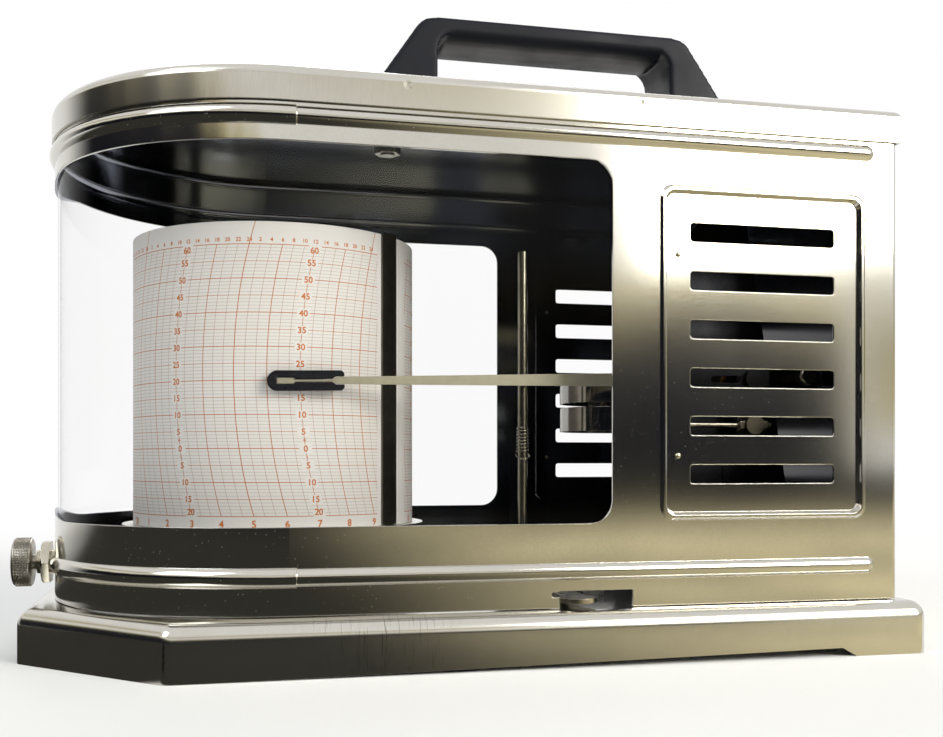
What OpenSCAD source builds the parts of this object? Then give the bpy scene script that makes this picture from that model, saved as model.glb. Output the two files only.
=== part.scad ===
// Recording thermograph: a clockwork chart drum, a bimetal element and a pen arm
// on a pressed steel tray, under a lift-off steel cover with a carrying handle.
// Millimetres. The tray stands on Z = 0 and the long side runs along X.
// The drum turns about the line X = drum_x, Y = 0.

/* [Case] */
// Outside radius of the case's round left end
case_r = 70.8; // [68:0.1:76]
// From the drum's axis to the outside of the square right end
case_right = 191.9; // [188:0.1:215]
// From the tray's top to the top of the lid
cover_h = 155.7; // [154:0.1:185]
// Thickness of the cover's steel sheet
sheet = 0.8; // [0.6:0.05:1.1]
// Radius of the two upright corners at the right end
case_corner = 1.8; // [1.2:0.1:4]

/* [Window] */
// From the drum's axis to the window's right edge
window_right = 96; // [85:0.5:100]
// From the tray's top to the window's sill
window_rise = 25.4; // [20:0.1:28]
// Height of the window
window_h = 108.8; // [95:0.1:111]
// Radius of the window's corners
window_corner = 7; // [3:0.5:12]
// Thickness of the clear sheet behind the window
pane_t = 0.8; // [0.5:0.1:1.5]

/* [Louvre panels] */
// Width of the panel's raised frame
louvre_w = 69.1; // [60:0.1:72]
// Height of the panel's raised frame
louvre_h = 102; // [90:0.1:105]
// From the square end to the panel's frame
louvre_end_gap = 11.6; // [9:0.1:14]
// From the tray's top to the panel's frame
louvre_rise = 26; // [24:0.1:30]
// How far the panel's floor is pressed in
louvre_depth = 1; // [0.5:0.1:1.4]
// Number of air slots in each panel
slot_count = 6; // [3:1:6]
// Length of an air slot
slot_w = 48.6; // [35:0.1:52]
// Height of an air slot
slot_h = 5.8; // [3:0.1:7]
// From one air slot to the next
slot_pitch = 14.8; // [11:0.1:15.5]

/* [Pressed beads] */
// From the lid's lower edge down to the middle of the upper bead
upper_bead_drop = 3.8; // [3.5:0.1:5]
// From the tray's top to the middle of the lower bead
lower_bead_rise = 11.1; // [10.5:0.1:13]
// Radius of the bead's round section
bead_r = 3; // [2:0.1:4]
// How far a bead stands out of the wall
bead_out = 1.3; // [0.8:0.1:1.8]
// From the square end to the end of a bead
bead_end_gap = 8.5; // [6:0.1:12]

/* [Lid] */
// Height of the lid's rim
lid_rim_h = 10.5; // [9:0.1:11]
// Radius of the lid's rounded edge
lid_edge_r = 3; // [2:0.1:4.5]

/* [Tray] */
// Height of the tray
tray_h = 16.3; // [15:0.1:22]
// How far the tray stands out beyond the case
tray_margin = 7.1; // [6:0.1:12]
// Length along each side of the cut-off left corners
tray_cut = 44; // [30:0.5:46]
// Radius of the tray's rounded edges
tray_edge_r = 5; // [3:0.1:7]
// Thickness of the tray's steel sheet
tray_sheet = 1.2; // [0.8:0.1:1.6]
// Length of the foot at each right corner
foot_len = 25.8; // [15:0.1:40]
// Height of the skirt's lower edge beside that foot
skirt_lift = 2.7; // [1:0.1:4]

/* [Handle] */
// From the drum's axis to the middle of the handle
handle_x = 96.6; // [90:0.1:105]
// Height of the handle over the lid
handle_h = 40; // [36:0.1:50]
// Width of the handle across the case
handle_w = 26; // [20:0.5:34]
// Length of the handle along the lid
handle_len = 149.6; // [135:0.1:165]
// Length of the finger gap
finger_len = 85; // [75:0.1:92]
// Height of the finger gap
finger_h = 32.5; // [28:0.1:34]
// Diameter of the two threaded studs in the handle's feet
stud_d = 5; // [4:0.5:6]

/* [Chart drum] */
// Diameter of the drum over its chart
drum_d = 93.3; // [88:0.1:95]
// Height of the drum
drum_h = 92.9; // [85:0.1:100]
// From the tray's top to the lower edge of the drum
drum_rise = 23.4; // [22:0.1:25]
// Diameter of the drum's bottom flange
flange_d = 100.4; // [99:0.1:103]
// Thickness of the drum's wall
drum_wall = 0.8; // [0.6:0.1:1.5]
// Thickness of the paper chart
chart_t = 0.2; // [0.15:0.05:0.3]
// Width of the chart clamp bar
bar_w = 8; // [5:0.5:12]
// Where the clamp bar stands on the drum, in degrees about its axis
bar_turn = -43; // [-60:1:-30]
// Diameter of the upright spindle
spindle_d = 6; // [5:0.5:7]

/* [Drum drive] */
// Module of the two drive wheels
gear_module = 0.7; // [0.6:0.05:0.75]
// Teeth of the fixed wheel on the spindle
wheel_teeth = 48; // [40:1:50]
// Teeth of the drive pinion
pinion_teeth = 12; // [10:1:14]

/* [Pen arm] */
// From the drum's axis to the pen arm's axle
axle_x = 153.2; // [152.5:0.1:155]
// From the tray's top to the pen arm's axle
axle_rise = 70.9; // [69:0.1:75]
// From the axle to the pen's nib
arm_len = 157.2; // [154:0.1:160]
// Slope of the arm at rest, in degrees
arm_tilt = 1.05; // [0:0.05:3]
// From the drum's axis forward to the arm's front face
arm_y = 50.2; // [50:0.1:51]
// Height of the arm at its pen end
arm_tip_h = 2.4; // [1.8:0.1:3]
// Height of the arm where it meets its root plate
arm_root_h = 4.8; // [4:0.1:6]
// Length of the pen's cartridge
pen_len = 23.3; // [18:0.1:26]
// Height of the pen's cartridge
pen_h = 6.2; // [5:0.1:8]
// Diameter of the axle
axle_d = 3; // [2:0.1:4]
// From the axle down to the link rod
crank_len = 14.9; // [13:0.1:16]

/* [Bimetal element] */
// From the drum's axis to the middle of the bimetal rings
ring_x = 114.6; // [113:0.1:116]
// Outside radius of the bimetal rings
ring_r = 19; // [18:0.1:19.5]
// Height of one bimetal band
band_h = 8.1; // [6:0.1:8.4]
// Thickness of a bimetal band
band_t = 0.8; // [0.5:0.1:1.2]
// From the tray's top to the lower band
band_rise = 54; // [53:0.1:56]

/* [Pen lifter] */
// From the drum's axis to the lifter's upright rod
rod_x = 74.9; // [73:0.1:77]
// Diameter of the rod
rod_d = 3; // [2:0.1:3.4]
// Height of the rod's top over the tray
rod_top_rise = 110.2; // [100:0.1:115]
// From the rod to the lifter's pivot
lifter_reach = 11.1; // [10:0.1:12]
// Diameter of the finger disc in front of the case
disc_d = 11.2; // [9:0.1:12]
// How far the disc's middle lies inside the case's wall
disc_inset = 3; // [1:0.1:5]
// Number of close curls in the rod's spring
spring_curls = 7; // [4:1:9]

/* [Lock screw] */
// Diameter of the knurled knob
knob_d = 16; // [13:0.1:18]
// Length of the knurled knob
knob_len = 7.7; // [6:0.1:10]
// Diameter of the screw
lock_d = 5; // [4:0.5:6]

/* [Hidden] */
$fn = 96;
// Clear gap between two pieces that move past each other
free_gap = 0.3;
// Radial clearance of a running fit
run_fit = 0.03;
// Radial clearance of a fastener in its hole
bolt_fit = 0.15;
// Clearance between two sheets of one assembly
lay_gap = 0.1;
// Overrun of every cut
lap = 1;

// Heights of the cover
wall_low = tray_h + free_gap;
lid_top = tray_h + cover_h;
lid_low = lid_top - lid_rim_h;
wall_top = lid_top - lid_edge_r;
wall_in = case_r - sheet;
lid_r = case_r + lay_gap + sheet;
lid_right = case_right + lay_gap + sheet;
upper_bead_z = lid_low - upper_bead_drop;
lower_bead_z = tray_h + lower_bead_rise;
bead_in = bead_r - bead_out;
seam_step = 0.25;
window_low = tray_h + window_rise;
window_top = window_low + window_h;
louvre_right = case_right - louvre_end_gap;
louvre_left = louvre_right - louvre_w;
louvre_low = tray_h + louvre_rise;

// Reach of the lock screw out of the round end
lock_z = lower_bead_z;
bush_out = 5.8;
nut_t = 2.65;
nut_flats = 13;
knob_face = -(case_r + bush_out + free_gap);
knob_end = knob_face - knob_len;

// The tray's outline, and the place of the drum in the whole length
tray_left = case_r + tray_margin;
tray_right = case_right + tray_margin;
tray_half = case_r + tray_margin;
drum_x = -(tray_right + knob_end) / 2;

// Heights of the drum and its drive
drum_low = tray_h + drum_rise;
drum_top = drum_low + drum_h;
chart_r = drum_d / 2;
can_r = chart_r - chart_t - lay_gap / 5;
flange_t = 1.5;
wheel_t = 3;
collar_d = 16;
collar_h = 13.7;
wheel_low = tray_h + collar_h;
wheel_top = wheel_low + wheel_t;
boss_d = 10;
bush_d = 12;
bush_past = 0.6;
drum_nut_h = 6;
drum_nut_d = 14;
stub_d = 8;
stub_len = 9;
spindle_nut_h = 6;
spindle_nut_flats = 13;
key_lift = 1;
bush_low = wheel_top + lay_gap + free_gap;
drum_centre_bore = spindle_d / 2 + run_fit;
drive_distance = gear_module * (wheel_teeth + pinion_teeth) / 2 + gear_module / 7;
pinion_t = 2.6;
pinion_arbor_d = 2;
clock_r = 36;
clock_h = 42;
clock_bottom = drum_low + lay_gap;
key_y = 24;
key_arbor_d = 3;
key_d = 12;
key_t = 5;

// Heights and depths of the pen arm
axle_z = tray_h + axle_rise;
plate_t = 1.5;
root_t = 0.8;
blade_t = 0.4;
blade_back = arm_y - root_t - blade_t;
gate_y = 46.5;
gate_pin_d = 1.5;
block_front = 48.5;
block_back = 44.5;
block_w = 8;
block_h = 11;
ear_t = 1.2;
root_h = 9;
root_reach = 28.5;
axle_tail = 2.5;
crank_lean = 1.4;
crank_front = 39.7;
crank_t = 1.5;
crank_hub = 2;
swivel_d = 6.4;
swivel_front = 47.5;
link_d = 2;
link_y = 44.5;
link_z = axle_z - crank_len;
link_pivot_x = axle_x + crank_lean;
pin_lift = 0.2;
frame_front = 31.5;
frame_back = 4.5;
bush_flange_t = 1.5;

// Places of the bimetal element
ring_y = -22;
ring_z = tray_h + band_rise;
band_gap = 1.5;
ring_open = 75;
ring_fixed = 49;
clip_gap = 0.35;
clip_t = 1;
clip_w = 8;
clip_front = ring_r - ring_y + clip_gap + clip_t;
eye_side = 4.4;
eye_x = ring_x + eye_side;

// Places of the pen lifter
rod_y = -46;
lever_lift = 1.7;
lever_low = tray_h + lever_lift;
lever_t = 1.5;
pivot_x = rod_x + lifter_reach;
disc_y = disc_inset - case_r;
notch_h = 5.4;
notch_side = 1.1;
notch_left = pivot_x - disc_d / 2 - notch_side;
notch_w = 23.1;
lobe_w = 2.4;
lobe_h = 1.5;
lobe_drop = 0.3;
post_d = 4;
wire_d = 0.5;
spring_low_rise = 44.6;
curl_pitch = 1.25;

// Points on an arc, from one angle to another in equal steps
function arc(centre, r, from, to, steps) = [
    for (i = [0:steps])
        let (a = from + (to - from) * i / steps)
            centre + r * [cos(a), sin(a)]
];

// Everything is drawn with the drum's axis at X = 0 and set down from there
module from_drum() {
    translate([drum_x, 0, 0]) children();
}

// A piece drawn with its length along +Z, laid so that it runs along +X
module along_x(at) {
    translate(at) rotate([0, 90, 0]) children();
}

// A piece drawn with its length along +Z, laid so that it runs along -Y, to the front
module to_front(at) {
    translate(at) rotate([90, 0, 0]) children();
}

knurl_h = 0.3;

module ring(outer, inner, h) {
    difference() {
        cylinder(d = outer, h = h);
        translate([0, 0, -lap]) cylinder(d = inner, h = h + 2 * lap);
    }
}

module hexagon(flats, h) {
    cylinder(d = flats / cos(30), h = h, $fn = 6);
}

// A straight knurled disc: ridges round the middle, smooth bevelled rims at both faces
module knurled(d, h, ridges, ridge_h) {
    bevel = h / 8;
    rim = d / 2 - 1.5 * ridge_h;
    translate([0, 0, bevel]) linear_extrude(h - 2 * bevel) polygon([
        for (i = [0:2 * ridges - 1])
            (d / 2 - (i % 2) * ridge_h) * [cos(180 * i / ridges), sin(180 * i / ridges)]
    ]);
    rotate_extrude() polygon([
        [0, 0], [rim - bevel / 2, 0], [rim, bevel / 2], [rim, h - bevel / 2], [rim - bevel / 2, h], [0, h]
    ]);
}

// A slotted cheese-head screw: its head sits on Z = 0 and its shank hangs below
module slotted_screw(head_d, head_h, shank_d, shank_len) {
    slot_share = 0.16;
    difference() {
        cylinder(d = head_d, h = head_h);
        translate([-head_d, -head_d * slot_share / 2, head_h / 2])
            cube([2 * head_d, head_d * slot_share, head_h]);
    }
    translate([0, 0, -shank_len]) cylinder(d = shank_d, h = shank_len);
}

// Outline of a spur wheel with involute flanks, a little thin so that it runs free
function involute_turn(a) = tan(a) * 180 / PI - a;
function wheel_outline(teeth) =
    let (
        pitch_r = gear_module * teeth / 2,
        base_r = pitch_r * cos(20),
        root_r = pitch_r - gear_module * 1.1,
        tip_r = pitch_r + gear_module * 0.8,
        start_r = max(base_r, root_r),
        slack_share = 0.06,
        slack = 90 * slack_share / teeth
    )
    [
        for (k = [0:teeth - 1])
            let (
                middle = 360 * k / teeth,
                half_at = [
                    for (i = [0:3])
                        let (r = start_r + (tip_r - start_r) * i / 3)
                        [r, 90 / teeth + involute_turn(20) - involute_turn(acos(min(1, base_r / r))) - slack]
                ],
                flank = concat([[root_r, half_at[0][1] + slack]], half_at)
            )
            each concat(
                [for (p = flank) p[0] * [cos(middle - p[1]), sin(middle - p[1])]],
                [for (i = [len(flank) - 1:-1:0])
                    flank[i][0] * [cos(middle + flank[i][1]), sin(middle + flank[i][1])]]
            )
    ];

// The cover

// Plan of the case: a half round left end and a square right end with small corners
module case_plan(r, right, corner) {
    circle(r);
    translate([0, -r]) square([right - corner, 2 * r]);
    translate([0, corner - r]) square([right, 2 * (r - corner)]);
    for (side = [-1, 1])
        translate([right - corner, side * (r - corner)]) circle(corner);
}

// One bead as a solid: round the left end, then along both long sides to its stops
module bead(z, r, step) {
    stop = case_right - bead_end_gap - sqrt(bead_r * bead_r - bead_in * bead_in);
    middle = case_r - bead_in;
    translate([0, 0, z]) {
        rotate([0, 0, 90]) rotate_extrude(angle = 180) translate([middle, 0]) circle(r + step);
        for (side = [-1, 1]) {
            along_x([0, side * middle, 0]) cylinder(r = r, h = stop);
            translate([stop, side * middle, 0]) sphere(r);
            if (step > 0) along_x([0, side * middle, 0]) cylinder(r = r + step, h = bead_r * 2 / 3);
        }
    }
}

// Rectangle with round corners, from exact circles
module soft_rectangle(w, h, r) {
    translate([r, 0]) square([w - 2 * r, h]);
    translate([0, r]) square([w, h - 2 * r]);
    for (x = [r, w - r])
        for (y = [r, h - r])
            translate([x, y]) circle(r);
}

module both_sides(at) {
    translate([0, -at, 0]) children();
    translate([0, at, 0]) mirror([0, 1, 0]) children();
}

ridge_w = 2.4;
ridge_h = 0.8;
ridge_foot = 0.1;
ridge_slope = 0.8;
ridge_corner = 4;
slot_corner = 1.1;
slot_stack_h = (slot_count - 1) * slot_pitch + slot_h;
function slot_z(i) = louvre_low + (louvre_h - slot_stack_h) / 2 + i * slot_pitch;

// A panel's outline, drawn in from the frame's outer edge and standing from one depth out to -Y
module panel_plate(inset, from, thick) {
    to_front([louvre_left + inset, from, louvre_low + inset]) linear_extrude(thick)
        soft_rectangle(louvre_w - 2 * inset, louvre_h - 2 * inset, ridge_corner - inset / 2);
}

// Raised frame of a louvre panel, sloping out to -Y from the wall's face at Y = 0
module louvre_ridge() {
    hull() {
        panel_plate(0, sheet / 2, sheet / 2 + ridge_foot);
        panel_plate(ridge_slope, sheet / 2, sheet / 2 + ridge_h);
    }
}

// Backing that keeps the sheet's thickness behind the pressed floor
module louvre_backing() {
    inset = ridge_w - sheet;
    to_front([louvre_left + inset, sheet + louvre_depth, louvre_low + inset])
        linear_extrude(louvre_depth + sheet / 2)
        soft_rectangle(louvre_w - 2 * inset, louvre_h - 2 * inset, ridge_corner - inset / 2);
}

// The pressed hollow and the air slots
module louvre_cuts() {
    hull() {
        panel_plate(ridge_w, louvre_depth, ridge_foot);
        panel_plate(ridge_w - ridge_slope, ridge_foot - ridge_h, ridge_foot + lap);
    }
    for (i = [0:slot_count - 1])
        to_front([louvre_left + (louvre_w - slot_w) / 2, 2 * louvre_depth + sheet + lap, slot_z(i)])
            linear_extrude(3 * louvre_depth + sheet + 2 * lap)
            soft_rectangle(slot_w, slot_h, slot_corner);
    for (z = rivet_heights())
        to_front([rivet_x, 2 * louvre_depth + sheet, z])
            cylinder(d = rivet_d + 2 * run_fit, h = 3 * louvre_depth);
}

rivet_d = 1.2;
rivet_inset = 6.2;
rivet_x = louvre_left + rivet_inset;
// Where the two rivets stand in the gaps above the first and the last slot but one
rivet_shares = [0.3, 0.55];
function rivet_heights() = [
    slot_z(0) + slot_h + rivet_shares[0] * (slot_pitch - slot_h),
    slot_z(slot_count - 2) + slot_h + rivet_shares[1] * (slot_pitch - slot_h)
];

module case_shell() {
    color("#b9b39d") from_drum() difference() {
        union() {
            difference() {
                union() {
                    translate([0, 0, wall_low]) linear_extrude(wall_top - wall_low)
                        case_plan(case_r, case_right, case_corner);
                    bead(upper_bead_z, bead_r, seam_step);
                    bead(lower_bead_z, bead_r, seam_step);
                    both_sides(case_r) louvre_ridge();
                }
                translate([0, 0, wall_low - lap]) linear_extrude(wall_top - wall_low + 2 * lap)
                    case_plan(wall_in, case_right - sheet, case_corner - sheet);
                bead(upper_bead_z, bead_r - sheet, 0);
                bead(lower_bead_z, bead_r - sheet, 0);
            }
            both_sides(case_r) louvre_backing();
        }
        both_sides(case_r) louvre_cuts();
        to_front([-case_r - lap, case_r + lap, window_low]) linear_extrude(2 * (case_r + lap))
            soft_rectangle(window_right + case_r + lap, window_h, window_corner);
        to_front([notch_left, -wall_in + lap, wall_low - lap]) linear_extrude(sheet + 2 * lap)
            square([notch_w, tray_h + notch_h - wall_low + lap]);
        to_front([notch_left - lobe_w, -wall_in + lap, tray_h + notch_h - lobe_drop - lobe_h])
            linear_extrude(sheet + 2 * lap) soft_rectangle(2 * lobe_w, lobe_h, lobe_h * 0.45);
        along_x([-case_r - bead_out - lap, 0, lock_z])
            cylinder(d = bush_neck_d + 2 * bolt_fit, h = 3 * lap + bead_out);
    }
}

// A cap with a rounded upper edge, open or solid, over the plan of the case
module cap_solid(r, right, low, top, edge) {
    steps = 6;
    half = concat([[0, low], [r, low]], arc([r - edge, top - edge], edge, 0, 90, steps), [[0, top]]);
    across = concat(
        [[-r, low], [r, low]], arc([r - edge, top - edge], edge, 0, 90, steps),
        arc([edge - r, top - edge], edge, 90, 180, steps)
    );
    rotate([0, 0, 90]) rotate_extrude(angle = 180) polygon(half);
    intersection() {
        rotate([90, 0, 90]) linear_extrude(right) polygon(across);
        to_front([0, r + lap, 0]) linear_extrude(2 * (r + lap))
            polygon(concat(
                [[0, low], [right, low]], arc([right - edge, top - edge], edge, 0, 90, steps), [[0, top]]
            ));
    }
}

stud_inset = 16.8;
stud_spread = handle_len / 2 - stud_inset;
function stud_places() = [for (side = [-1, 1]) handle_x + side * stud_spread];

module lid() {
    color("#c9c2a8") from_drum() difference() {
        cap_solid(lid_r, lid_right, lid_low, lid_top, lid_edge_r);
        cap_solid(lid_r - sheet, lid_right - sheet, lid_low - lap, lid_top - sheet, lid_edge_r - sheet);
        for (x = stud_places())
            translate([x, 0, lid_top - 2 * lap]) cylinder(d = stud_d + 2 * bolt_fit, h = 4 * lap);
    }
}

module window_pane() {
    edge_lap = 5;
    outer_r = wall_in - lay_gap;
    color("#cfe6f0", 0.35) from_drum() intersection() {
        translate([0, 0, window_low - edge_lap]) linear_extrude(window_h + 1.7 * edge_lap) difference() {
            case_plan(outer_r, case_right, case_corner);
            case_plan(outer_r - pane_t, case_right + lap, case_corner);
        }
        translate([-case_r, -case_r, 0]) cube([case_r + window_right + edge_lap, 2 * case_r, lid_top]);
    }
}

module handle() {
    half = handle_len / 2;
    lean_share = 0.685;
    top_half = half - lean_share * handle_h;
    lean_turn = atan2(1, lean_share);
    bend_r = handle_h / 5;
    start = bend_r * tan(lean_turn / 2);
    gap_half = finger_len / 2;
    gap_r = handle_h / 6;
    edge_z = finger_h + (handle_h - finger_h) * 2 / 5;
    right_side = concat(
        [[half, 0]], arc([top_half - start, handle_h - bend_r], bend_r, 90 - lean_turn, 90, 8)
    );
    left_side = [for (i = [len(right_side) - 1:-1:0]) [-right_side[i][0], right_side[i][1]]];
    color("#262833") from_drum() translate([handle_x, 0, lid_top]) difference() {
        union() {
            // The two legs, cut away between them up to the grip
            difference() {
                to_front([0, handle_w / 2, 0]) linear_extrude(handle_w)
                    polygon(concat(right_side, left_side));
                to_front([0, handle_w / 2 + lap, 0]) linear_extrude(handle_w + 2 * lap) polygon(concat(
                    [[-gap_half, -lap], [gap_half, -lap]],
                    arc([gap_half - gap_r, edge_z - gap_r], gap_r, 0, 90, 6),
                    [[gap_half - gap_r, handle_h + lap], [gap_r - gap_half, handle_h + lap]],
                    arc([gap_r - gap_half, edge_z - gap_r], gap_r, 90, 180, 6)
                ));
            }
            // The grip, with its underside rounded like a moulding
            translate([gap_r / 2 - gap_half, 0, 0]) rotate([90, 0, 90]) linear_extrude(finger_len - gap_r)
                polygon(concat(
                    [[-handle_w / 2, handle_h]],
                    [for (p = underside_shares) [-p[0] * handle_w, finger_h + p[1] * (edge_z - finger_h)]],
                    [for (i = [len(underside_shares) - 1:-1:0]) let (p = underside_shares[i])
                        [p[0] * handle_w, finger_h + p[1] * (edge_z - finger_h)]],
                    [[handle_w / 2, handle_h]]
                ));
        }
        for (side = [-1, 1])
            translate([side * stud_spread, 0, -lap]) cylinder(d = stud_d + 2 * lay_gap, h = stud_grip + lap);
    }
}

// Half section of the grip's underside: shares of the width and of its rise to the faces
underside_shares = [[0.5, 1], [0.46, 0.72], [0.38, 0.4], [0.27, 0.14], [0.12, 0]];

stud_grip = 14;
washer_t = 1;
nut_h = 2.8;

module handle_studs() {
    stud_past = 0.5;
    below = sheet + washer_t + nut_h + stud_past;
    color("#a8a59c") from_drum() for (x = stud_places())
        translate([x, 0, lid_top - below]) cylinder(d = stud_d, h = below + stud_grip - free_gap);
}

module handle_washers() {
    color("#a8a59c") from_drum() for (x = stud_places())
        translate([x, 0, lid_top - sheet - washer_t]) ring(2 * stud_d, stud_d + 2 * bolt_fit, washer_t);
}

module handle_nuts() {
    color("#8f8c84") from_drum() for (x = stud_places())
        translate([x, 0, lid_top - sheet - washer_t - nut_h]) difference() {
            hexagon(1.6 * stud_d, nut_h);
            translate([0, 0, -lap]) cylinder(d = stud_d + 2 * run_fit, h = nut_h + 2 * lap);
        }
}

// Small rivets beside the air slots, through the pressed floor
module panel_rivets() {
    head_d = 1.8;
    head_h = 0.5;
    color("#d8d2bd") from_drum() both_sides(case_r) for (z = rivet_heights()) {
        to_front([rivet_x, louvre_depth, z]) cylinder(d = head_d, h = head_h);
        to_front([rivet_x, louvre_depth + sheet + head_h, z])
            cylinder(d = rivet_d, h = sheet + head_h + head_h / 2);
    }
}

bush_neck_d = 7.6;
bush_flange_d = 13;
bush_flange_h = 2;
bush_seat = 0.4;

// Threaded bush through the round end: its outer end shows as the knob's neck
module lock_bush() {
    flange_x = -(wall_in - bush_seat);
    color("#9b968a") from_drum() difference() {
        union() {
            along_x([-case_r - bush_out, 0, lock_z])
                cylinder(d = bush_neck_d, h = bush_out + sheet + bush_seat);
            along_x([flange_x, 0, lock_z]) cylinder(d = bush_flange_d, h = bush_flange_h);
        }
        along_x([-case_r - bush_out - lap, 0, lock_z])
            cylinder(d = lock_d + 2 * run_fit, h = bush_out + bush_flange_h + sheet + bush_seat + 2 * lap);
    }
}

module lock_nut() {
    nut_x = -(case_r + bead_out + seam_step + lay_gap / 2 + nut_t);
    color("#a8a59c") from_drum() along_x([nut_x, 0, lock_z]) difference() {
        intersection() {
            rotate([0, 0, 30]) hexagon(nut_flats, nut_t);
            rotate_extrude() polygon([
                [0, 0], [nut_flats / 2, 0], [nut_flats * 0.6, nut_t / 3], [nut_flats * 0.6, nut_t], [0, nut_t]
            ]);
        }
        translate([0, 0, -lap]) cylinder(d = bush_neck_d + 2 * run_fit, h = nut_t + 2 * lap);
    }
}

bracket_gap = 3.7;
bracket_face = -(wall_in - bush_flange_h - bracket_gap);
bracket_t = 2;
bracket_half = 9;
bracket_foot = 14;
bracket_past = 6.6;
tip_d = 3.4;
tip_past = 2.5;
knob_web = 1.2;

// Screw of the lock: a threaded stem with a thinner tip that enters the bracket's slot
module lock_stem() {
    shoulder = bracket_face - free_gap;
    buried = knob_len - knob_web;
    color("#8f8c84") from_drum() {
        along_x([knob_face - buried, 0, lock_z]) cylinder(d = lock_d, h = shoulder - knob_face + buried);
        along_x([shoulder - lap, 0, lock_z]) cylinder(d = tip_d, h = lap + free_gap + bracket_t + tip_past);
    }
}

module lock_knob() {
    color("#9b968a") from_drum() along_x([knob_end, 0, lock_z]) difference() {
        knurled(knob_d, knob_len, 40, knurl_h);
        translate([0, 0, knob_web - free_gap / 2]) cylinder(d = lock_d + 2 * run_fit, h = knob_len);
    }
}

// The tray

// Tray as one rounded block: its plan has two cut-off corners at the left
module tray_block(inset, top, edge) {
    left = tray_left - inset;
    right = tray_right - inset;
    half = tray_half - inset;
    cut = tray_cut - inset * (2 - sqrt(2));
    slide = edge * (sqrt(2) - 1);
    corners = [
        [edge - left, half - cut - slide], [cut - left + slide, half - edge], [right - edge, half - edge],
        [right - edge, edge - half], [cut - left + slide, edge - half], [edge - left, slide + cut - half]
    ];
    quarter = concat([[0, -lap], [edge, -lap]], arc([0, top - edge], edge, 0, 90, 6));
    hull() for (p = corners)
        translate(p) rotate_extrude($fn = 32) polygon(quarter);
}

base_screw_d = 4;
screw_head_d = 7.6;
screw_head_h = 2.4;
screw_past = 4;
frame_reach = 16.2;
frame_left = axle_x - frame_reach;
frame_screw_in = 8;
frame_screw_spread = 28;
bracket_screw_in = 8;
bracket_screw_half = 5;
post_shift = 11.4;
post_foot_x = ring_x + post_shift;
post_foot_y = 1.5;
post_foot_t = 3;
post_foot_w = 30;
post_foot_deep = 9;
post_screw_half = 11;
function base_screw_places() = concat(
    [for (i = [0:1])
        [frame_left + frame_screw_in + i * frame_screw_spread, -(frame_front + frame_back) / 2, plate_t]],
    [for (side = [-1, 1])
        [bracket_face + bracket_t + bracket_screw_in, side * bracket_screw_half, bracket_t]],
    [for (side = [-1, 1]) [post_foot_x + side * post_screw_half, post_foot_y, post_foot_t]]
);
pad_x = 48.8;
pad_d = 14;
lip_w = 16;
lip_low = 2.8;

module tray() {
    inner_edge = tray_edge_r - tray_sheet;
    foot_slope = 1.8 * skirt_lift;
    color("#b5aa86") from_drum() difference() {
        union() {
            difference() {
                tray_block(0, tray_h, tray_edge_r);
                tray_block(tray_sheet, tray_h - tray_sheet, inner_edge);
            }
            for (side = [-1, 1])
                translate([
                    pad_x - 1.5 * pad_d, side * (tray_half - tray_sheet / 2 - lip_w / 2) - lip_w / 2, lip_low
                ])
                    cube([3 * pad_d, lip_w, tray_sheet]);
        }
        translate([-2 * tray_left, -2 * tray_half, -2 * lap])
            cube([2 * (tray_left + tray_right), 4 * tray_half, 2 * lap]);
        // Lower edge of the long skirts rises evenly to the right-hand feet
        to_front([0, 2 * tray_half, 0]) linear_extrude(4 * tray_half) polygon([
            [tray_cut - tray_left + 2 * tray_edge_r, -lap], [tray_cut - tray_left + 2 * tray_edge_r, 0],
            [tray_right - foot_len - foot_slope, skirt_lift],
            [tray_right - foot_len, 0], [tray_right - foot_len, -lap]
        ]);
        // Lower edges of both ends between their feet
        translate([-2 * tray_left, -(tray_half - tray_cut - tray_edge_r), -lap])
            cube([
                2 * (tray_left + tray_right), 2 * (tray_half - tray_cut - tray_edge_r), lap + skirt_lift / 2
            ]);
        translate([0, 0, -lap]) cylinder(d = stub_d + 2 * bolt_fit, h = tray_h + 2 * lap);
        for (p = base_screw_places())
            translate([p[0], p[1], tray_h - tray_sheet - lap])
                cylinder(d = base_screw_d + 2 * run_fit, h = tray_sheet + 2 * lap);
        translate([pivot_x, rod_y, tray_h - tray_sheet - lap])
            cylinder(d = post_d + 2 * run_fit, h = tray_sheet + 2 * lap);
    }
}

// Rubber pads under the skirt's folded lips
module tray_pads() {
    color("#1b1b1d") from_drum() for (side = [-1, 1])
        translate([pad_x, side * (tray_half - tray_sheet - lip_w / 2), 0]) cylinder(d = pad_d, h = lip_low);
}

// Screws that hold the frame, the lock bracket and the bimetal post to the tray
module base_screws() {
    color("#a8a59c") from_drum() for (p = base_screw_places())
        translate([p[0], p[1], tray_h + p[2]])
            slotted_screw(screw_head_d, screw_head_h, base_screw_d, p[2] + tray_sheet + screw_past);
}

// The drum and its drive

spindle_foot_d = 30;
spindle_foot_h = 3;
bush_top = drum_top + bush_past;

module spindle() {
    color("#b9b6ad") from_drum() {
        translate([0, 0, tray_h]) cylinder(d = spindle_foot_d, h = spindle_foot_h);
        translate([0, 0, tray_h]) cylinder(d = collar_d, h = collar_h);
        translate([0, 0, wheel_low]) cylinder(d = boss_d, h = wheel_t + lay_gap);
        translate([0, 0, tray_h - stub_len]) cylinder(d = stub_d, h = stub_len);
        translate([0, 0, wheel_low])
            cylinder(d = spindle_d, h = bush_top + 2 * free_gap + drum_nut_h - wheel_low);
    }
}

module spindle_nut() {
    color("#8f8c84") from_drum() translate([0, 0, tray_h - tray_sheet - spindle_nut_h]) difference() {
        hexagon(spindle_nut_flats, spindle_nut_h);
        translate([0, 0, -lap]) cylinder(d = stub_d + 2 * run_fit, h = spindle_nut_h + 2 * lap);
    }
}

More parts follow.
